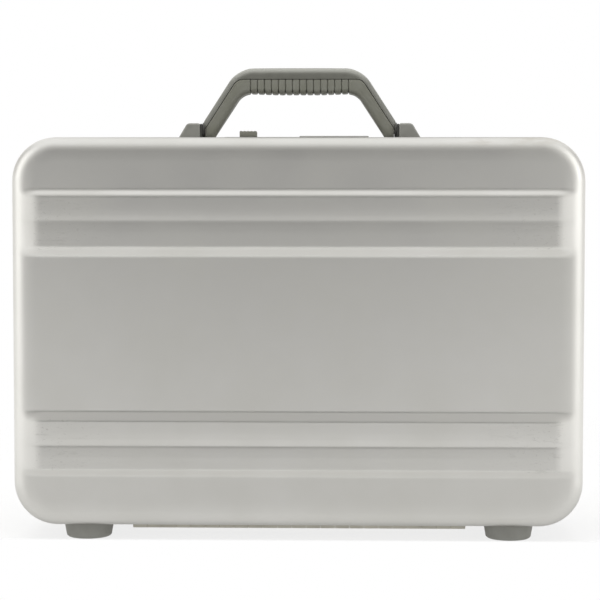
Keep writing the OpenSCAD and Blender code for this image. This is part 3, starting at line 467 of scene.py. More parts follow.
def addFloor():
    # seamless paper: to the camera it lets the white behind through and keeps part of the object's shadow; in
    # front, where the lid opens below the standing case, it also lets the lamps' light through
    material, add, shader, where = newMaterial("seamlessPaper")
    feed(shader, {"Roughness": 0.9, "Base Color": hexColour(surround["floor"])})
    rays = add("LightPath").outputs
    spot = add("SeparateXYZ", [where]).outputs
    glows = []
    for axis, name in (("X", "sideGlow"), ("Y", "frontGlow")):
        away = add("Math", [spot[axis]], operation="ABSOLUTE")
        glows.append(add("MapRange", [away, *surround[name]]))
    strength = add("Math", glows, operation="MAXIMUM")
    glow = add("Emission", [hexColour(surround["white"]), strength])
    share = add("Math", [rays["Is Glossy Ray"], surround["mirrored"]], operation="MULTIPLY")
    mirrored = add("MixShader", [share, shader, glow])
    away = add("VectorMath", [where], operation="LENGTH").outputs["Value"]
    fade = add("MapRange", [away, *surround["fade"]])
    clear = add("Math", [rays["Is Camera Ray"], fade], operation="MULTIPLY")
    front = add("MapRange", [spot["Y"], *surround["opening"]])
    soft = add("Math", [rays["Is Diffuse Ray"], rays["Is Shadow Ray"]], operation="MAXIMUM")
    most = add("Math", [rays["Is Camera Ray"], soft], operation="MAXIMUM")
    opened = add("Math", [front, most], operation="MULTIPLY")
    through = add("Math", [clear, opened], operation="MAXIMUM")
    blend = add("MixShader", [through, mirrored, add("BsdfTransparent")])
    feed(material.node_tree.nodes["Material Output"], {"Surface": blend})
    bm = bmesh.new()
    bmesh.ops.create_grid(bm, x_segments=1, y_segments=1, size=surround["floorSize"])
    stageMesh("floor", bm, material)


def addCards():
    # grey cards round the case, which the metal mirrors, lighter upwards and outwards; white to a camera
    material, add, shader, where = newMaterial("greyCard")
    material.node_tree.nodes.remove(shader)
    spot = add("SeparateXYZ", [where]).outputs
    glow = {name: add("MapRange", [spot[axis], *span])
            for name, (axis, *span) in surround["cardGlow"].items()}
    sides = add("Math", [glow["left"], glow["right"]], operation="MAXIMUM")
    both = add("Math", [glow["middle"], sides], operation="ADD")
    capped = add("Math", [both, glow["most"]], operation="MINIMUM")
    aside = add("Math", [spot["X"]], operation="ABSOLUTE")
    edges = add("MapRange", [aside, *surround["outlineGlow"]])
    outline = add("Math", [glow["behind"], edges], operation="MULTIPLY")
    strength = add("Math", [capped, outline], operation="MAXIMUM")
    grey = add("Emission", [surround["card"], strength])
    white = add("Emission", [hexColour(surround["white"]), 1.0])
    seen = add("LightPath").outputs["Is Camera Ray"]
    feed(material.node_tree.nodes["Material Output"], {"Surface": add("MixShader", [seen, grey, white])})
    for name, (place, turn) in surround["cards"].items():
        bm = bmesh.new()
        addSheet(bm, surround["cardSize"], place, -90, turn)
        stageMesh(name, bm, material)


placeCamera()
addLamps()
addWorld()
addFloor()
addCards()
bpy.context.scene.view_settings.view_transform = "Standard"
print("camera and studio set")


# Shells: a swept rim and edge radius round a face panel with pressed ribs

# Pairs from the case's top down: start, first slope and crest, fall into the valley, step, second crest, last
# slope, softness of the bends, and the valley's share of the height. Then the slopes' shapes, as shares
ribs = {"height": 3.0, "crestX": 207.0, "end": 14.0, "endSoft": 2.6, "panelX": 209.0, "panelZ": (47.9, 288.7),
        "pairs": ((42.1, 4.4, 8.7, 12.0, 1.2, 19.0, 7.2, 1.3, 0.86),
                  (218.6, 7.6, 6.8, 13.0, 1.3, 17.3, 6.4, 0.5, 0.80)),
        "fall": ((0.25, 0.05), (0.6, 0.3), (1.0, 1.0)), "climb": ((0.9, 0.35), (3.5, 0.6), (7.0, 0.85)),
        "drop": ((0.0, 0.99), (0.15, 0.93), (0.85, 0.07), (1.0, 0.0))}


def ribProfiles():
    # each pair's section from the top down, as (height over the floor, share of the rib's height), and how
    # far its bends are softened
    found = []
    for start, slope, crest, fall, step, wide, last, soft, dip in ribs["pairs"]:
        points, down = [(0.0, 0.0)], slope
        points += [(down, 1.0), (down + crest, 1.0)]
        down += crest
        points += [(down + fall * part, 1 - (1 - dip) * deep) for part, deep in ribs["fall"]]
        down += fall
        points += [(down + step * part, dip + (1 - dip) * high) for part, high in ribs["climb"]]
        down += step + wide
        points += [(down + last * part, high) for part, high in ribs["drop"]]
        found.append(([(caseTop - start - d, high) for d, high in points], soft))
    return found


def ramp(value, foot, top):
    return min(1.0, max(0.0, (value - foot) / (top - foot)))


def ribSection(z, points):
    if points[-1][0] < z < points[0][0]:
        for (z0, h0), (z1, h1) in zip(points, points[1:]):
            if z >= z1:
                return h0 + (h1 - h0) * (z0 - z) / (z0 - z1)
    return 0.0


def ribHeight(x, z, profiles):
    # height of the pressed sheet over the face, averaged over a small patch for soft bends
    steps = (-1, -0.5, 0, 0.5, 1)
    section = sum(ribSection(z + soft * k, points) for points, soft in profiles for k in steps) / len(steps)
    side = sum(ramp(abs(x) + ribs["endSoft"] * k, ribs["crestX"] + ribs["end"], ribs["crestX"])
               for k in steps) / len(steps)
    return ribs["height"] * side * section


def spread(places, offsets, least):
    # every place with its offsets, sorted, none closer than least
    values = sorted(p + o for p in places for o in offsets)
    kept = []
    for value in values:
        if not kept or value - kept[-1] >= least:
            kept.append(value)
    return kept


def joinInto(bm, other):
    # moves another bmesh in and gives back the vertices of its border
    mesh = meshFrom("joined", other)
    before = set(bm.edges)
    bm.from_mesh(mesh)
    bpy.data.meshes.remove(mesh)
    return {v for e in bm.edges if e not in before and e.is_boundary for v in e.verts}


def closeRing(bm, rim, border):
    # closes the flat ring round the panel: quads at its sides, one face above and one below
    low, high = ribs["panelZ"]
    for side in (-1, 1):
        outer = [v for v in rim if v.co.x * side > ribs["panelX"] and low - 0.01 < v.co.z < high + 0.01]
        within = [v for v in border if abs(v.co.x * side - ribs["panelX"]) < 0.01]
        outer.sort(key=lambda v: v.co.z)
        within.sort(key=lambda v: v.co.z)
        for corners in zip(outer, outer[1:], within[1:], within):
            bm.faces.new(corners)
    for sign, level in ((1, high), (-1, low)):
        arch = [v for v in rim if (v.co.z - level) * sign > -0.01]
        arch.sort(key=lambda v: atan2((v.co.z - caseMid) * sign, v.co.x))
        base = sorted((v for v in border if abs(v.co.z - level) < 0.01), key=lambda v: v.co.x)
        bm.faces.new(arch + base)


# Rows over each pair of ribs and columns at its ends; the bend's steps, how far it turns and how much lower
# than the face it ends; then how far in and under until it is flat
sheet = {"rows": 90, "margin": 2.0, "columns": (-4.5, -2.9, -2.1, -1.3, -0.65, 0.0, 0.65, 1.3), "straight": 8,
         "bends": 10, "turn": 85, "under": 0.34,
         "eases": ((1.4, 0.23), (3, 0.13), (5.5, 0.04), (7.5, 0), (8.2, 0))}


def makeShell(name, node, body):
    profiles = ribProfiles()
    rows, count, margin = [], sheet["rows"], sheet["margin"]
    for points, _ in profiles:
        span = points[0][0] - points[-1][0] + 2 * margin
        rows += [points[-1][0] - margin + span * i / count for i in range(count + 1)]
    columns = [side * (ribs["crestX"] + offset) for side in (-1, 1) for offset in sheet["columns"]]
    edge, depth = case["edge"], case["halfDepth"]
    stations = [(0.0, case["web"]), (0.0, depth - edge - sheet["straight"]), (0.0, depth - edge)]
    steps, last = sheet["bends"], radians(sheet["turn"])
    for i in range(1, steps + 1):
        turn = last * i / steps
        stations.append((edge * (1 - cos(turn)) / (1 - cos(last)),
                         depth - edge + (edge - sheet["under"]) * sin(turn) / sin(last)))
    stations += [(edge + inwards, depth - under) for inwards, under in sheet["eases"]]
    bm = bmesh.new()
    sweepOutline(bm, stations, False)
    cutAt(bm, "Z", rows + list(ribs["panelZ"]))
    rim = {v for e in bm.edges if e.is_boundary for v in e.verts if v.co.y > depth - 0.01}
    flat = bmesh.new()
    low, high = ribs["panelZ"]
    addSheet(flat, (2 * ribs["panelX"], high - low), (0, depth, (low + high) / 2))
    cutAt(flat, "Z", rows)
    cutAt(flat, "X", columns)
    closeRing(bm, rim, joinInto(bm, flat))
    for vert in bm.verts:
        if vert.co.y > depth - edge:
            vert.co.y += ribHeight(vert.co.x, vert.co.z, profiles)
    bm.normal_update()
    middle = Vector((0, 0, caseMid))
    wrong = [f for f in bm.faces if (f.normal.y if abs(f.normal.y) > 0.02
                                     else f.normal.dot(f.calc_center_median() - middle)) < 0]
    bmesh.ops.reverse_faces(bm, faces=wrong)
    if body == "lid":
        towardsLid(bm)
    else:
        openLock(bm)
    piece = finishPiece(name, bm, shellMetal, body, (node,))
    wall = piece.modifiers.new("wall", "SOLIDIFY")
    wall.thickness = case["wall"] * mm
    wall.offset = -1.0
    wall.use_quality_normals = True


lock = {"left": -62.3, "right": 57.3, "front": 9.0, "back": 31.0, "plate": 2.3, "raised": 3.2, "raisedX": 0.0,
        "lug": 6.3, "housing": 20.0, "housingWall": 1.2, "dialX": 13.0, "dialPitch": 12.0, "dialWidth": 7.0,
        "dialRadius": 8.0, "dialSoft": 0.4, "dialFlat": 0.15, "dialGap": 0.4, "dialHub": 3.6,
        "hubLength": 11.4, "hubSoft": 0.3, "bore": 1.55, "proud": 0.4, "notchAt": 8.4, "notchRadius": 0.9,
        "notchReach": 0.82, "plateSoft": 0.5, "raisedSoft": 0.6, "softSteps": 3, "slot": (-46.2, -33.4),
        "slotHalf": 3.4,
        "screw": (1.45, 2.55, 1.2)}  # the screw's hole, its head and how deep the head sits
topLevel = caseTop - 0.1  # above this lies only the case's flat top


def openLock(bm):
    # the opening in the top wall that the lock hangs through
    x0, x1 = lock["left"] + lock["lug"], lock["right"] - lock["lug"]
    y0, y1 = lock["front"] + lock["housingWall"], lock["back"] - lock["housingWall"]

    def isTop(face):
        return face.normal.z > 0.99 and face.calc_center_median().z > topLevel

    cutAt(bm, "X", (x0, x1), isTop)
    cutAt(bm, "Y", (y0, y1), isTop)
    dropFaces(bm, (x0, y0, topLevel), (x1, y1, inf))


makeShell("pressedFrontShell", "front_shell", "lid")
makeShell("pressedRearShell", "rear_shell", "base")
print("shells made")


# Frames round the seam, the gasket and the lining

frames = {"soft": 0.35, "inset": -0.2, "notch": 1.0, "notchAhead": 0.3}


def makeFrame(name, node, body):
    # an extrusion's section swept round the seam: a band outside, a web under the shell's edge, a leg inside
    soft, inset, web = frames["soft"], frames["inset"], case["web"]
    out, low, high = -case["band"], case["seam"], case["bandWidth"]
    leg, inner, deep = case["legOut"], case["legIn"], case["legDepth"]
    bm = bmesh.new()
    sweepOutline(bm, [(out, low + soft), (out, high - soft), (out + soft, high), (inset, high), (inset, web),
                      (leg, web), (leg, deep), (inner - soft, deep), (inner, deep - soft),
                      (inner, low + soft), (inner - soft, low), (out + soft, low)], True)
    facingOut(bm)
    if body == "lid":
        towardsLid(bm)
    else:
        trimLeg(bm)
    finishPiece(name, bm, frameMetal, body, (node,), angle=30)


def trimLeg(bm):
    # takes the base frame's leg away where the lock's housing hangs
    x0, x1 = lock["left"] - frames["notch"], lock["right"] + frames["notch"]
    y = lock["front"] - frames["notchAhead"]

    def isAbove(face):
        centre = face.calc_center_median()
        return x0 < centre.x < x1 and centre.z > caseMid

    cutAt(bm, "X", (x0, x1))
    cutAt(bm, "Y", [y], isAbove)
    dropFaces(bm, (x0, y + 0.01, caseMid), (x1, inf, inf))
    bmesh.ops.holes_fill(bm, edges=[e for e in bm.edges if e.is_boundary], sides=0)
    facingOut(bm)


makeFrame("extrudedLidFrame", "lid_frame", "lid")
makeFrame("extrudedBaseFrame", "base_frame", "base")

# The linings, the room beside the stays' brackets and the room for the keepers
linings = {"out": 3.4, "thick": 2.0, "rim": 8.0, "face": 55.7, "soft": 0.6, "bends": 5,
           "bracketX": (222.1, 229.0), "bracketY": 15.55, "bracketZ": (57.7, 82.3),
           "keeperX": (-53.2, 32.8), "keeperWidth": 17.4, "keeperY": 13.3, "lockGap": 0.3}


def makeLining(name, node, body, boxes):
    # cloth on board: a tray with a rolled rim and a rounded bend to its flat bottom, open for its fittings
    out, inner = linings["out"], linings["out"] + linings["thick"]
    rim, face, floor = linings["rim"], linings["face"], linings["face"] - linings["thick"]
    soft, bend, tight = linings["soft"], case["edge"] - out, case["edge"] - inner
    turns = quarterTurns(linings["bends"])
    outside = [(out + soft, rim), (out, rim + soft)]
    outside += [(out + bend * (1 - cos(t)), face - bend + bend * sin(t)) for t in turns]
    inside = [(inner, rim + soft)]
    inside += [(inner + tight * (1 - cos(t)), floor - tight + tight * sin(t)) for t in turns]
    bm = bmesh.new()
    outer, inners = sweepOutline(bm, outside, False), sweepOutline(bm, inside, False)
    start = addOutline(bm, inner - soft, rim)
    bridge(bm, outer[0], start)
    bridge(bm, start, inners[0])
    for loop in (outer[-1], inners[-1]):
        bm.faces.new(loop)
    facingOut(bm)
    if body == "lid":
        towardsLid(bm)
    piece = finishPiece(name, bm, lining, body, (node,))
    for low, high in boxes:
        useBlock(piece, "DIFFERENCE", low, high)


def makeLinings():
    (x0, x1), (z0, z1) = linings["bracketX"], linings["bracketZ"]
    beside = [(-x1, -x0), (x0, x1)]
    near, gap = linings["bracketY"], linings["lockGap"]
    room = [((a, 0, z0), (b, near, z1)) for a, b in beside]
    room.append(((lock["left"] - gap, 0, caseTop - lock["housing"] - gap),
                 (lock["right"] + gap, lock["back"] + gap, caseTop)))
    makeLining("baseLiningTray", "base_liner", "base", room)
    room = [((a, -near, z0), (b, 0, z1)) for a, b in beside]
    room += [((x, -linings["keeperY"], caseMid), (x + linings["keeperWidth"], 0, caseTop))
             for x in linings["keeperX"]]
    makeLining("lidLiningTray", "lid_liner", "lid", room)


gasket = {"out": 0.65, "inner": 2.45, "deep": 1.2, "soft": (0.25, 0.2)}


def makeGasket():
    # a flat strip with a softened face that the lid's frame presses on
    out, inner, deep, (soft, drop) = gasket["out"], gasket["inner"], gasket["deep"], gasket["soft"]
    bm = bmesh.new()
    sweepOutline(bm, [(out, drop), (out + soft, 0.0), (inner - soft, 0.0), (inner, drop), (inner, deep),
                      (out, deep)], True)
    facingOut(bm)
    finishPiece("seamGasket", bm, sealRubber, "base", ("gasket",))


makeLinings()
makeGasket()
print("frames and lining made")


# Handle: one arch, parted along the line between the cover and the grip

# Points of one half, from the middle and above the case's top; the parting line has its own
handle = {"leg": (79.2, 1.0), "elbow": (80.6, 14.1), "shoulder": (51.2, 59.1), "crown": (20.0, 59.4),
          "innerFoot": (71.5, 1.0), "innerCorner": (48.6, 36.2), "gripEnd": (41.5, 38.4), "gripMid": 37.3,
          "gripStart": (18.0, 37.6), "splitLeg": 78.6, "splitElbow": (78.6, 8.9), "splitCorner": (51.6, 49.8),
          "splitRound": 5.0, "splitSteps": 6, "gap": 0.5, "depth": 22.0, "legDepth": 14.0,
          "taper": (14.0, 31.0), "edge": 6.0, "innerEdge": 4.0, "sharp": 1.2,
          "rounds": {"shoulder": 12.5, "elbow": 3.0, "innerCorner": 4.5, "gripEnd": 2.4}}
# Grooves: depth and half width, the crown of the ribs between, how far the last ones reach, the cuts beside
# each, and the bands at the side, the underside and the cover's edge over which they fade
flutes = {"count": 15, "pitch": 5.8, "depth": 1.15, "half": 0.5, "crown": 0.35, "reach": 0.55, "least": 0.04,
          "cuts": (-2.9, -1.9, -1.0, -0.6, -0.3, 0.0, 0.3, 0.6, 1.0, 1.9, 2.9),
          "side": (6.0, 2.0), "under": (6.0, 2.0), "cover": (6.0, 1.0)}


def handleArch(bm):
    # the whole handle as one solid with rounded edges, narrow at its legs
    half = [handle[key] for key in ("leg", "elbow", "shoulder", "crown")]
    under = [handle[key] for key in ("gripStart", "gripEnd", "innerCorner", "innerFoot")]
    points = half + [(-x, z) for x, z in reversed(half)]
    points += [(-x, z) for x, z in reversed(under)] + under
    face = bm.faces.new([bm.verts.new((x, lockY - handle["depth"] / 2, caseTop + z)) for x, z in points])
    corners = {}
    for vert in face.verts:
        place = Vector((abs(vert.co.x), vert.co.z - caseTop))
        for key, radius in handle["rounds"].items():
            if (place - Vector(handle[key])).length < 0.01:
                corners.setdefault(radius, []).append(vert)
    for radius, verts in corners.items():
        roundOff(bm, verts, radius, 7, "VERTICES")
    thicken(bm, handle["depth"])
    rims = [e for e in bm.edges if abs(e.verts[0].co.y - e.verts[1].co.y) < 0.01]
    roundOff(bm, [e for e in rims if not isUnder(e)], handle["edge"], 7)
    rest = [e for e in bm.edges if e.is_valid and e.calc_face_angle(0) > handle["sharp"] and isUnder(e)]
    roundOff(bm, rest, handle["innerEdge"], 6)


def isUnder(edge):
    # true on the arch's inner boundary, where the fingers go
    place = (edge.verts[0].co + edge.verts[1].co) / 2
    z = place.z - caseTop
    (foot, low), (corner, high) = handle["innerFoot"], handle["innerCorner"]
    reach = foot + (corner - foot) * min(1, z / high)
    return low + 0.2 < z < handle["gripEnd"][1] + 1.1 and abs(place.x) < reach + 0.9


def taperLegs(bm):
    low, high = handle["taper"]
    for vert in bm.verts:
        t = ramp(vert.co.z - caseTop, low, high)
        t = t * t * (3 - 2 * t)
        width = handle["legDepth"] + (handle["depth"] - handle["legDepth"]) * t
        vert.co.y = lockY + (vert.co.y - lockY) * width / handle["depth"]


def splitPrism(grow):
    # a prism that holds everything under the parting line, moved in or out by grow
    elbow = Vector((handle["splitElbow"][0] + grow, handle["splitElbow"][1]))
    corner = Vector((handle["splitCorner"][0] + grow * 0.7, handle["splitCorner"][1] + grow))
    before = corner + (elbow - corner).normalized() * handle["splitRound"]
    after = corner - Vector((handle["splitRound"], 0))
    shares = [k / handle["splitSteps"] for k in range(handle["splitSteps"] + 1)]
    arc = [before.lerp(corner, k).lerp(corner.lerp(after, k), k) for k in shares]
    half = [(handle["splitLeg"] + grow, -20.0), tuple(elbow)] + [tuple(p) for p in arc]
    points = half + [(-x, z) for x, z in reversed(half)]
    bm = bmesh.new()
    plateFrom(bm, [(x, caseTop + z) for x, z in points], lockY - 20, lockY + 20)
    return bm


def fluteGrip(bm):
    # finger grooves across the front, the back and the underside, with crowned ribs between them
    count, pitch = flutes["count"], flutes["pitch"]
    centres = [(i - (count - 1) / 2) * pitch for i in range(count)]
    cutAt(bm, "X", spread(centres, flutes["cuts"], flutes["least"]))
    half, bottom = handle["depth"] / 2, caseTop + handle["gripMid"]
    cover = caseTop + handle["splitCorner"][1]
    (side0, side1), (under0, under1), (cover0, cover1) = flutes["side"], flutes["under"], flutes["cover"]
    for vert in bm.verts:
        near = min(abs(vert.co.x - c) for c in centres)
        if near > pitch * flutes["reach"]:
            continue
        depth = flutes["depth"] * exp(-(near / flutes["half"]) ** 2)
        if abs(vert.co.x) <= abs(centres[0]):
            depth += flutes["crown"] * (1 - near / (pitch / 2)) ** 2
        side = vert.co.y - lockY
        across = ramp(abs(side), half - side0, half - side1)
        below = ramp(vert.co.z, cover + cover0, cover + cover1)
        vert.co.y -= copysign(depth * across * below, side)
        vert.co.z += depth * ramp(vert.co.z, bottom + under0, bottom + under1)


def makeHandle():
    grow = handle["gap"] / 2
    for name, node, tone, operation, side in (("handleCover", "handle_cover", coverNylon, "DIFFERENCE", 1),
                                              ("handleGrip", "handle_grip", nylon, "INTERSECT", -1)):
        bm = bmesh.new()
        handleArch(bm)
        if node == "handle_grip":
            fluteGrip(bm)
        taperLegs(bm)
        facingOut(bm)
        piece = finishPiece(name, bm, tone, "handle", (node,), angle=40)
        applyBoolean(piece, splitPrism(grow * side), operation)
        piece.data.set_sharp_from_angle(angle=radians(40))


post = {"inner": 82.5, "footWidth": 18.8, "topWidth": 10.0, "height": 13.8, "depth": 22.0, "soft": 1.6}


def makePost(name, node, side):
    x0, x1, soft = post["inner"], post["inner"] + post["footWidth"], post["soft"]
    x2, top = post["inner"] + post["topWidth"], post["height"]
    points = [(x0, 0), (x1, 0), (x2 + soft, top - soft), (x2, top), (x0, top)]
    bm = bmesh.new()
    plateFrom(bm, [(x * side, caseTop + z) for x, z in points], lockY - post["depth"] / 2,
              lockY + post["depth"] / 2)
    rims = [e for e in bm.edges if (e.verts[0].co.z + e.verts[1].co.z) / 2 > caseTop + 0.5
            and e.calc_face_angle(0) > 0.5]
    roundOff(bm, rims, soft, 4)
    finishPiece(name, bm, postNylon, "base", (node,), angle=50)


pivot = {"z": 8.0, "radius": 2.95, "inner": 75.0, "outer": 89.0, "soft": 0.3, "cheek": (80.85, 82.45),
         "cheekHalf": 8.5, "cheekLow": 0.02, "cheekTop": 13.4, "cheekSoft": 0.5, "washer": (79.0, 80.8),
         "washerBore": 3.05, "washerRadius": 6.6, "washerSoft": 0.2}


def makePins():
    # turned pins, and a dark cheek on each post and a dark washer on each leg that fill the gap between the
    # two: painted shade, dark pieces standing in for the shadow in that gap
    pins, cheeks, washers = bmesh.new(), bmesh.new(), bmesh.new()
    r, near, far, soft = pivot["radius"], pivot["inner"], pivot["outer"], pivot["soft"]
    bore, rim, thin = pivot["washerBore"], pivot["washerRadius"], pivot["washerSoft"]
    x0, x1 = pivot["washer"]
    pinLine = [(0, near), (r - soft, near), (r, near + soft), (r, far), (0, far)]
    washerLine = [(bore, x0), (rim, x0), (rim, x1 - thin), (rim - thin, x1), (bore, x1), (bore, x0)]
    for side in (-1, 1):
        for whole, line, steps in ((pins, pinLine, 48), (washers, washerLine, 64)):
            turned = bmesh.new()
            spinProfile(turned, line, (0, lockY, caseTop + pivot["z"]), (side, 0, 0), steps)
            joinInto(whole, turned)
        left, right = sorted(x * side for x in pivot["cheek"])
        addBlock(cheeks, (left, lockY - pivot["cheekHalf"], caseTop + pivot["cheekLow"]),
                 (right, lockY + pivot["cheekHalf"], caseTop + pivot["cheekTop"]), pivot["cheekSoft"], 2)
    finishPiece("handlePins", pins, zincSteel, "base", ("handle_pins",), angle=40)
    finishPiece("postShadeCheeks", cheeks, gapShadeNylon, "base", angle=40)
    finishPiece("pivotShadeWashers", washers, gapShadeNylon, "handle", angle=40)


makeHandle()
makePost("handlePostLeft", "handle_post_left", -1)
makePost("handlePostRight", "handle_post_right", 1)
makePins()
print("handle made")


# Feet: turned profiles with a soft lower rim and a screw well

feet = {"top": 20.2, "low": 18.5, "round": 2.6, "well": 4.6, "wellDepth": 5.9, "wellSoft": 0.5, "hole": 2.1,
        "under": 0.05, "y": 27.5, "lidX": 171.0, "baseX": 177.0}


def makeFoot(name, node, body, x, y):
    well, deep, soft, top = feet["well"], feet["wellDepth"], feet["wellSoft"], case["foot"] - feet["under"]
    r, low = feet["round"], feet["low"]
    points = [(well, deep), (well, soft), (well + soft, 0.0)]
    points += [(low - r + r * sin(turn), r * (1 - cos(turn))) for turn in quarterTurns(6)]
    points += [(feet["top"] - 0.1, case["foot"] - 1.0), (feet["top"] - 0.3, top), (feet["hole"], top),
               (feet["hole"], deep), (well, deep)]
    bm = bmesh.new()
    spinProfile(bm, points, (x, y, 0), (0, 0, 1), 64)
    finishPiece(name, bm, footPlastic, body, (node,), angle=45)


for row, body, x, side in (("front", "lid", feet["lidX"], -1), ("rear", "base", feet["baseX"], 1)):
    makeFoot(row + "FootLeft", row + "_foot_left", body, -x, side * feet["y"])
    makeFoot(row + "FootRight", row + "_foot_right", body, x, side * feet["y"])
print("feet made")


# Lock: plate with its raised dial section, slide button, number dials and return spring

dialPlaces = [lock["dialX"] + i * lock["dialPitch"] for i in range(3)]


def makeLockPlate():
    thick, inner = lock["plate"], lock["lug"] / 2
    x0, x1, y0, y1 = lock["left"], lock["right"], lock["front"], lock["back"]
    bm = bmesh.new()
    addBlock(bm, (x0, y0, caseTop), (x1, y1, caseTop + thick), lock["plateSoft"], lock["softSteps"])
    piece = finishPiece("lockPlate", bm, lacquer, "base", ("lock_plate",))
    useBlock(piece, "UNION", (lock["raisedX"], y0 + 0.01, caseTop + 0.01),
             (x1 - 0.01, y1 - 0.01, caseTop + lock["raised"]), lock["raisedSoft"], lock["softSteps"])
    reach, half = lock["dialRadius"] - 1, lock["dialWidth"] / 2 + lock["dialGap"]
    openings = [(x - half, x + half, reach) for x in dialPlaces] + [(*lock["slot"], lock["slotHalf"])]
    for left, right, wide in openings:
        useBlock(piece, "DIFFERENCE", (left, lockY - wide, caseTop - 1), (right, lockY + wide, caseTop + 5))
    hole, head, sunk = lock["screw"]
    level = thick - sunk
    line = [(0, -1), (hole, -1), (hole, level), (head, level), (head, thick + 2), (0, thick + 2)]
    for x in (x0 + inner, x1 - inner):
        for y in (y0 + inner, y1 - inner):
            cutter = bmesh.new()
            spinProfile(cutter, line, (x, y, caseTop), (0, 0, 1), 32)
            applyBoolean(piece, cutter, "DIFFERENCE")
    piece.data.set_sharp_from_angle(angle=radians(35))


button = {"left": -49.9, "right": -35.7, "low": 2.7, "top": 7.5, "width": 11.0, "groove": 0.8, "soft": 0.8,
          "grooves": 4, "shallow": 0.4, "corner": 0.3, "edge": 0.25}


def makeButton():
    # a block with softened ends and rounded grooves across its top
    x0, x1, soft, cut = button["left"], button["right"], button["soft"], button["soft"] * button["corner"]
    low, top, r, count = caseTop + button["low"], caseTop + button["top"], button["groove"], button["grooves"]
    points = [(x0, low), (x1, low), (x1, top - soft), (x1 - cut, top - cut), (x1 - soft, top)]
    for i in range(count, 0, -1):
        centre = x0 + (x1 - x0) * i / (count + 1)
        for turn in (pi * k / 6 for k in range(7)):
            points.append((centre + r * cos(turn), top - r * button["shallow"] * sin(turn)))
    points += [(x0 + soft, top), (x0 + cut, top - cut), (x0, top - soft)]
    bm = bmesh.new()
    plateFrom(bm, points, lockY - button["width"] / 2, lockY + button["width"] / 2)
    rims = [e for e in bm.edges if abs(e.verts[0].co.y - e.verts[1].co.y) < 0.01]
    roundOff(bm, rims, button["edge"], 2, clamp=True)
    finishPiece("slideButton", bm, nylon, "latch", ("slide_button",), angle=40)


def arcPath(x, y, across, up, start, end, count=12):
    turns = [radians(start + (end - start) * i / count) for i in range(count + 1)]
    return [(x + across * cos(t), y + up * sin(t)) for t in turns]


# Strokes of the plain digits, in half widths and half heights
digitPaths = {
    0: [arcPath(0, 0, 0.5, 1, 0, 360, 20)],
    1: [[(-0.3, 0.6), (0.1, 1), (0.1, -1)]],
    2: [arcPath(0, 0.5, 0.5, 0.5, 170, -40) + [(-0.5, -1), (0.55, -1)]],
    3: [arcPath(-0.02, 0.5, 0.45, 0.5, 150, -90), arcPath(-0.02, -0.5, 0.52, 0.5, 90, -150)],
    4: [[(0.25, -1), (0.25, 1), (-0.55, -0.4), (0.55, -0.4)]],
    5: [[(0.45, 1), (-0.38, 1), (-0.45, 0.12)] + arcPath(-0.02, -0.4, 0.5, 0.6, 110, -150)],
    6: [arcPath(0, -0.45, 0.5, 0.55, 0, 360, 18), [(0.3, 1), (-0.15, 0.6), (-0.42, 0.1), (-0.5, -0.45)]],
    7: [[(-0.5, 1), (0.5, 1), (-0.1, -1)]],
    8: [arcPath(0, 0.5, 0.42, 0.5, 0, 360, 16), arcPath(0, -0.5, 0.5, 0.5, 0, 360, 18)],
    9: [arcPath(0, 0.45, 0.5, 0.55, 0, 360, 18), [(-0.3, -1), (0.15, -0.6), (0.42, -0.1), (0.5, 0.45)]]}
digits = {"halfWidth": 1.5, "halfHeight": 1.3, "stroke": 0.4, "low": 7.7, "high": 7.93}


def addStroke(bm, points, turn, centre):
    # one painted strip along a path, mitred at its bends, turned to its place round the dial
    path = [Vector((x * digits["halfWidth"], y * digits["halfHeight"])) for x, y in points]
    loop = (path[0] - path[-1]).length < 1e-6
    rings = []
    for i, here in enumerate(path[:-1] if loop else path):
        after = path[i + 1] - here if i + 1 < len(path) else here - path[i - 1]
        before = here - path[i - 1] if i else (path[0] - path[-2] if loop else after)
        after, before = after.normalized(), before.normalized()
        along = (after + before).normalized()
        across = Vector((-along.y, along.x)) * digits["stroke"] / 2 / max(0.35, along.dot(after))
        corners = [(here + across, digits["high"]), (here - across, digits["high"]),
                   (here - across, digits["low"]), (here + across, digits["low"])]
        rings.append([bm.verts.new(turn @ Vector((p.x, p.y, w)) + centre) for p, w in corners])
    for first, second in zip(rings, rings[1:] + (rings[:1] if loop else [])):
        bridge(bm, first, second)
    if not loop:
        bm.faces.new(rings[0])
        bm.faces.new(rings[-1])


def dialRing(bm, x, radius, toothed, centre):
    # points round the dial's axis; a toothed ring has ten flats with a round notch between each two
    verts = []
    for i in range(120):
        turn, r = radians(3 * i), radius
        if toothed:
            off = radians((3 * i + 18) % 36 - 18)
            notch = pi / 10 - abs(off)
            r = min(radius, (radius - lock["dialFlat"]) / cos(off))
            away = lock["notchAt"] * sin(notch)
            if away < lock["notchReach"]:
                r = min(r, lock["notchAt"] * cos(notch) - sqrt(lock["notchRadius"] ** 2 - away ** 2))
        verts.append(bm.verts.new(centre + Vector((x, r * sin(turn), r * cos(turn)))))
    return verts


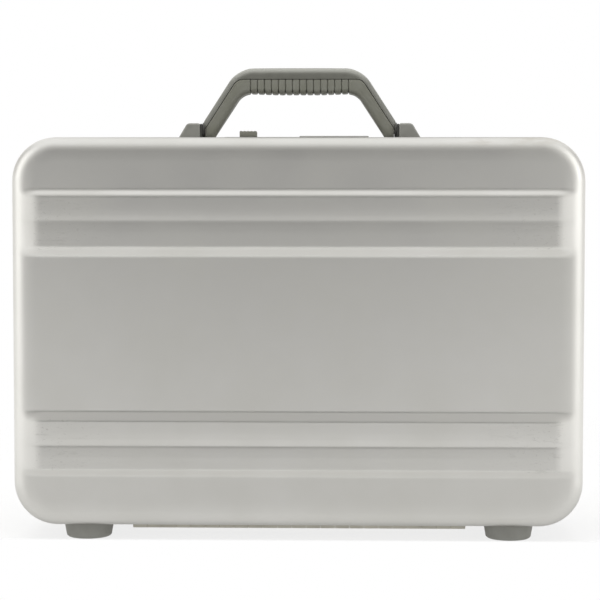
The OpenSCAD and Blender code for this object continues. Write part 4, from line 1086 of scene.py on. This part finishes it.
def makeDial(name, node, x):
    centre = Vector((x, lockY, caseTop + lock["raised"] + lock["proud"] - lock["dialRadius"]))
    disc, end, hub, outer = lock["dialWidth"] / 2, lock["hubLength"] / 2, lock["dialHub"], lock["dialRadius"]
    soft, hubSoft = lock["dialSoft"], lock["hubSoft"]
    half = [(end, lock["bore"], False), (end, hub - hubSoft, False), (end - hubSoft, hub, False),
            (disc, hub, False), (disc, outer - soft, True), (disc - soft, outer, True)]
    bm = bmesh.new()
    rings = [dialRing(bm, -a, r, toothed, centre) for a, r, toothed in half]
    rings += [dialRing(bm, a, r, toothed, centre) for a, r, toothed in reversed(half)]
    for first, second in zip(rings, rings[1:] + rings[:1]):
        bridge(bm, first, second)
    body = set(bm.faces)
    for digit, paths in digitPaths.items():
        for path in paths:
            addStroke(bm, path, Matrix.Rotation(radians(36 * digit), 3, "X"), centre)
    for face in bm.faces:
        face.material_index = 0 if face in body else 1
    facingOut(bm)
    piece = finishPiece(name, bm, dialBlack, node, (node,))
    piece.data.materials.append(numberWhite)


spring = {"wire": 0.28, "turns": 9, "steps": 18}


def makeSpring():
    low, high = (Vector(v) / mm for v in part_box("return_spring"))
    wire, turns, steps = spring["wire"], spring["turns"], spring["steps"]
    centre = (low + high) / 2
    bm = bmesh.new()
    made = bmesh.ops.create_circle(bm, segments=8, radius=wire, cap_ends=True)["verts"]
    bmesh.ops.rotate(bm, matrix=Matrix.Rotation(pi / 2, 3, "X"), verts=made)
    bmesh.ops.translate(bm, vec=(low.x + wire, centre.y, high.z - wire), verts=made)
    step = (high.x - low.x - 2 * wire) / turns / steps
    bmesh.ops.spin(bm, geom=everything(bm), cent=centre, axis=(1, 0, 0), dvec=(step, 0, 0),
                   angle=2 * pi * turns, steps=turns * steps)
    facingOut(bm)
    finishPiece("returnSpring", bm, zincSteel, "base", ("return_spring",), angle=60)


makeLockPlate()
makeButton()
for index, place in enumerate(dialPlaces, 1):
    makeDial(f"numberDial{index}", f"dial_{index}", place)
makeSpring()
print("lock made")


# Pockets in the lid: leatherette with a folded hem, bound edges and rows of stitches

stitch = {"length": 2.8, "half": 0.28, "pitch": 4.0, "sunk": 0.2, "soft": 0.15, "proud": 0.15}
pocket = {"half": 190.0, "low": 40.0, "top": 230.0, "back": -53.4, "front": -44.4, "wall": 1.8, "hem": 12.0,
          "sunk": 0.45, "inset": 3.0, "binding": 6.6, "bandDepth": 1.5, "bandSoft": 0.3}
cards = {"x0": -162.0, "x1": -58.0, "low": 110.0, "top": 178.0, "proud": 1.8, "hem": 9.0, "inset": 2.0,
         "edge": 4.0, "wall": 0.9, "bandDepth": 1.0}
loops = {"places": (96.0, 115.0, 134.0), "radius": 6.5, "wall": 1.2, "low": 170.0, "high": 194.0}


def makePocket(name, node, block, bands, room):
    # a block with bands laid on its face, hollowed from the top
    bm = bmesh.new()
    addBlock(bm, *block)
    piece = finishPiece(name, bm, leatherette, "lid", (node,))
    for low, high in bands:
        useBlock(piece, "UNION", low, high, pocket["bandSoft"], 2)
    useBlock(piece, "DIFFERENCE", *room)
    piece.data.set_sharp_from_angle(angle=radians(35))


def makeStitches(name, rows):
    # rows of short raised threads, each between two points of the face at y
    bm = bmesh.new()
    for start, end, y in rows:
        start, end = Vector(start), Vector(end)
        count = int((end - start).length // stitch["pitch"])
        along = (end - start).normalized()
        reach = along * stitch["length"] / 2 + Vector((along.y, along.x)) * stitch["half"]
        x, z = abs(reach.x), abs(reach.y)
        for i in range(count):
            at = start + (end - start) * (i + 0.5) / count
            addBlock(bm, (at.x - x, y - stitch["sunk"], at.y - z), (at.x + x, y, at.y + z), stitch["soft"], 1)
    finishPiece(name, bm, stitchThread, "lid")


def makeDocumentPocket():
    half, low, top, thin = pocket["half"], pocket["low"], pocket["top"], pocket["wall"]
    edge, gap, hem, front = pocket["binding"], pocket["inset"], pocket["hem"], pocket["front"]
    back, face = pocket["back"], front - stitch["proud"]
    bands = [((x0, face - pocket["bandDepth"], z0), (x1, face, z1))
             for x0, x1, z0, z1 in ((-half, half, low, low + edge), (-half, -half + edge, low, top),
                                    (half - edge, half, low, top), (-half, half, top - hem, top))]
    makePocket("documentPocket", "document_pocket",
               ((-half, back, low), (half, face - pocket["sunk"], top - 1), 1.0, 3), bands,
               ((-half + thin, back - 1, low + thin), (half - thin, face - thin, top + 1)))
    reach = half - gap
    rows = [((-reach, z), (reach, z), front) for z in (low + gap, top - hem + gap)]
    rows += [((x, low + gap + 3), (x, top - hem), front) for x in (-reach, reach)]
    makeStitches("documentPocketStitches", rows)


def makeCardPocket():
    x0, x1, low, top = cards["x0"], cards["x1"], cards["low"], cards["top"]
    back, front = pocket["front"] - pocket["sunk"] - 0.1, pocket["front"] + cards["proud"]
    face, edge, hem, gap = front - stitch["proud"], cards["edge"], cards["hem"], cards["inset"]
    makePocket("cardPocket", "card_pocket", ((x0, back, low), (x1, face - 0.3, top - 0.5), 0.5, 2),
               [((x0, face - cards["bandDepth"], top - hem), (x1, face, top))],
               ((x0 + edge, back + 0.5, low + edge), (x1 - edge, face - cards["wall"], top + 1)))
    left, right, level = x0 + gap, x1 - gap, face - stitch["proud"]
    rows = [((left, z), (right, z), y) for z, y in ((low + gap, level), (top - hem + gap, front))]
    rows += [((x, low + edge), (x, top - hem), level) for x in (left, right)]
    makeStitches("cardPocketStitches", rows)


def makePenLoops():
    bm = bmesh.new()
    r, thin, low, tall = loops["radius"], loops["wall"], loops["low"], loops["high"] - loops["low"]
    out = r + thin
    line = [(r, 0.5), (r + 0.4, 0), (out - 0.4, 0), (out, 0.5), (out, tall - 0.5), (out - 0.4, tall),
            (r + 0.4, tall), (r, tall - 0.5), (r, 0.5)]
    for x in loops["places"]:
        part = bmesh.new()
        spinProfile(part, line, (x, pocket["front"] + out, low), (0, 0, 1), 48)
        joinInto(bm, part)
    finishPiece("penLoops", bm, leatherette, "lid", ("pen_loops",), angle=40)


makeDocumentPocket()
makeCardPocket()
makePenLoops()
print("pockets made")


# Plain CAD nodes take their materials

halves, sides = ("base", "lid"), ("left", "right")
dressing = {"satinAluminiumHinge": [f"{half}_hinge_leaf" for half in halves],
            "nickelPlatedStrip": ["hinge_pin", "handle_core"]
            + [f"{half}_{part}_{side}" for half in halves for part in ("bracket", "arm") for side in sides],
            "zincPlatedSteel": ["post_screws", "lock_screws", "lock_housing", "latch_bar", "dial_axle",
                                "detent_leaf", "keeper_left", "keeper_right"]
            + [f"{half}_foot_{part}" for half in halves for part in ("screws", "nuts")],
            "satinAnodisedExtrusion": [f"{half}_frame_rivets" for half in halves]}
for materialName, members in dressing.items():
    for member in members:
        mesh = nodes[member].data
        mesh.materials.clear()
        mesh.materials.append(bpy.data.materials[materialName])
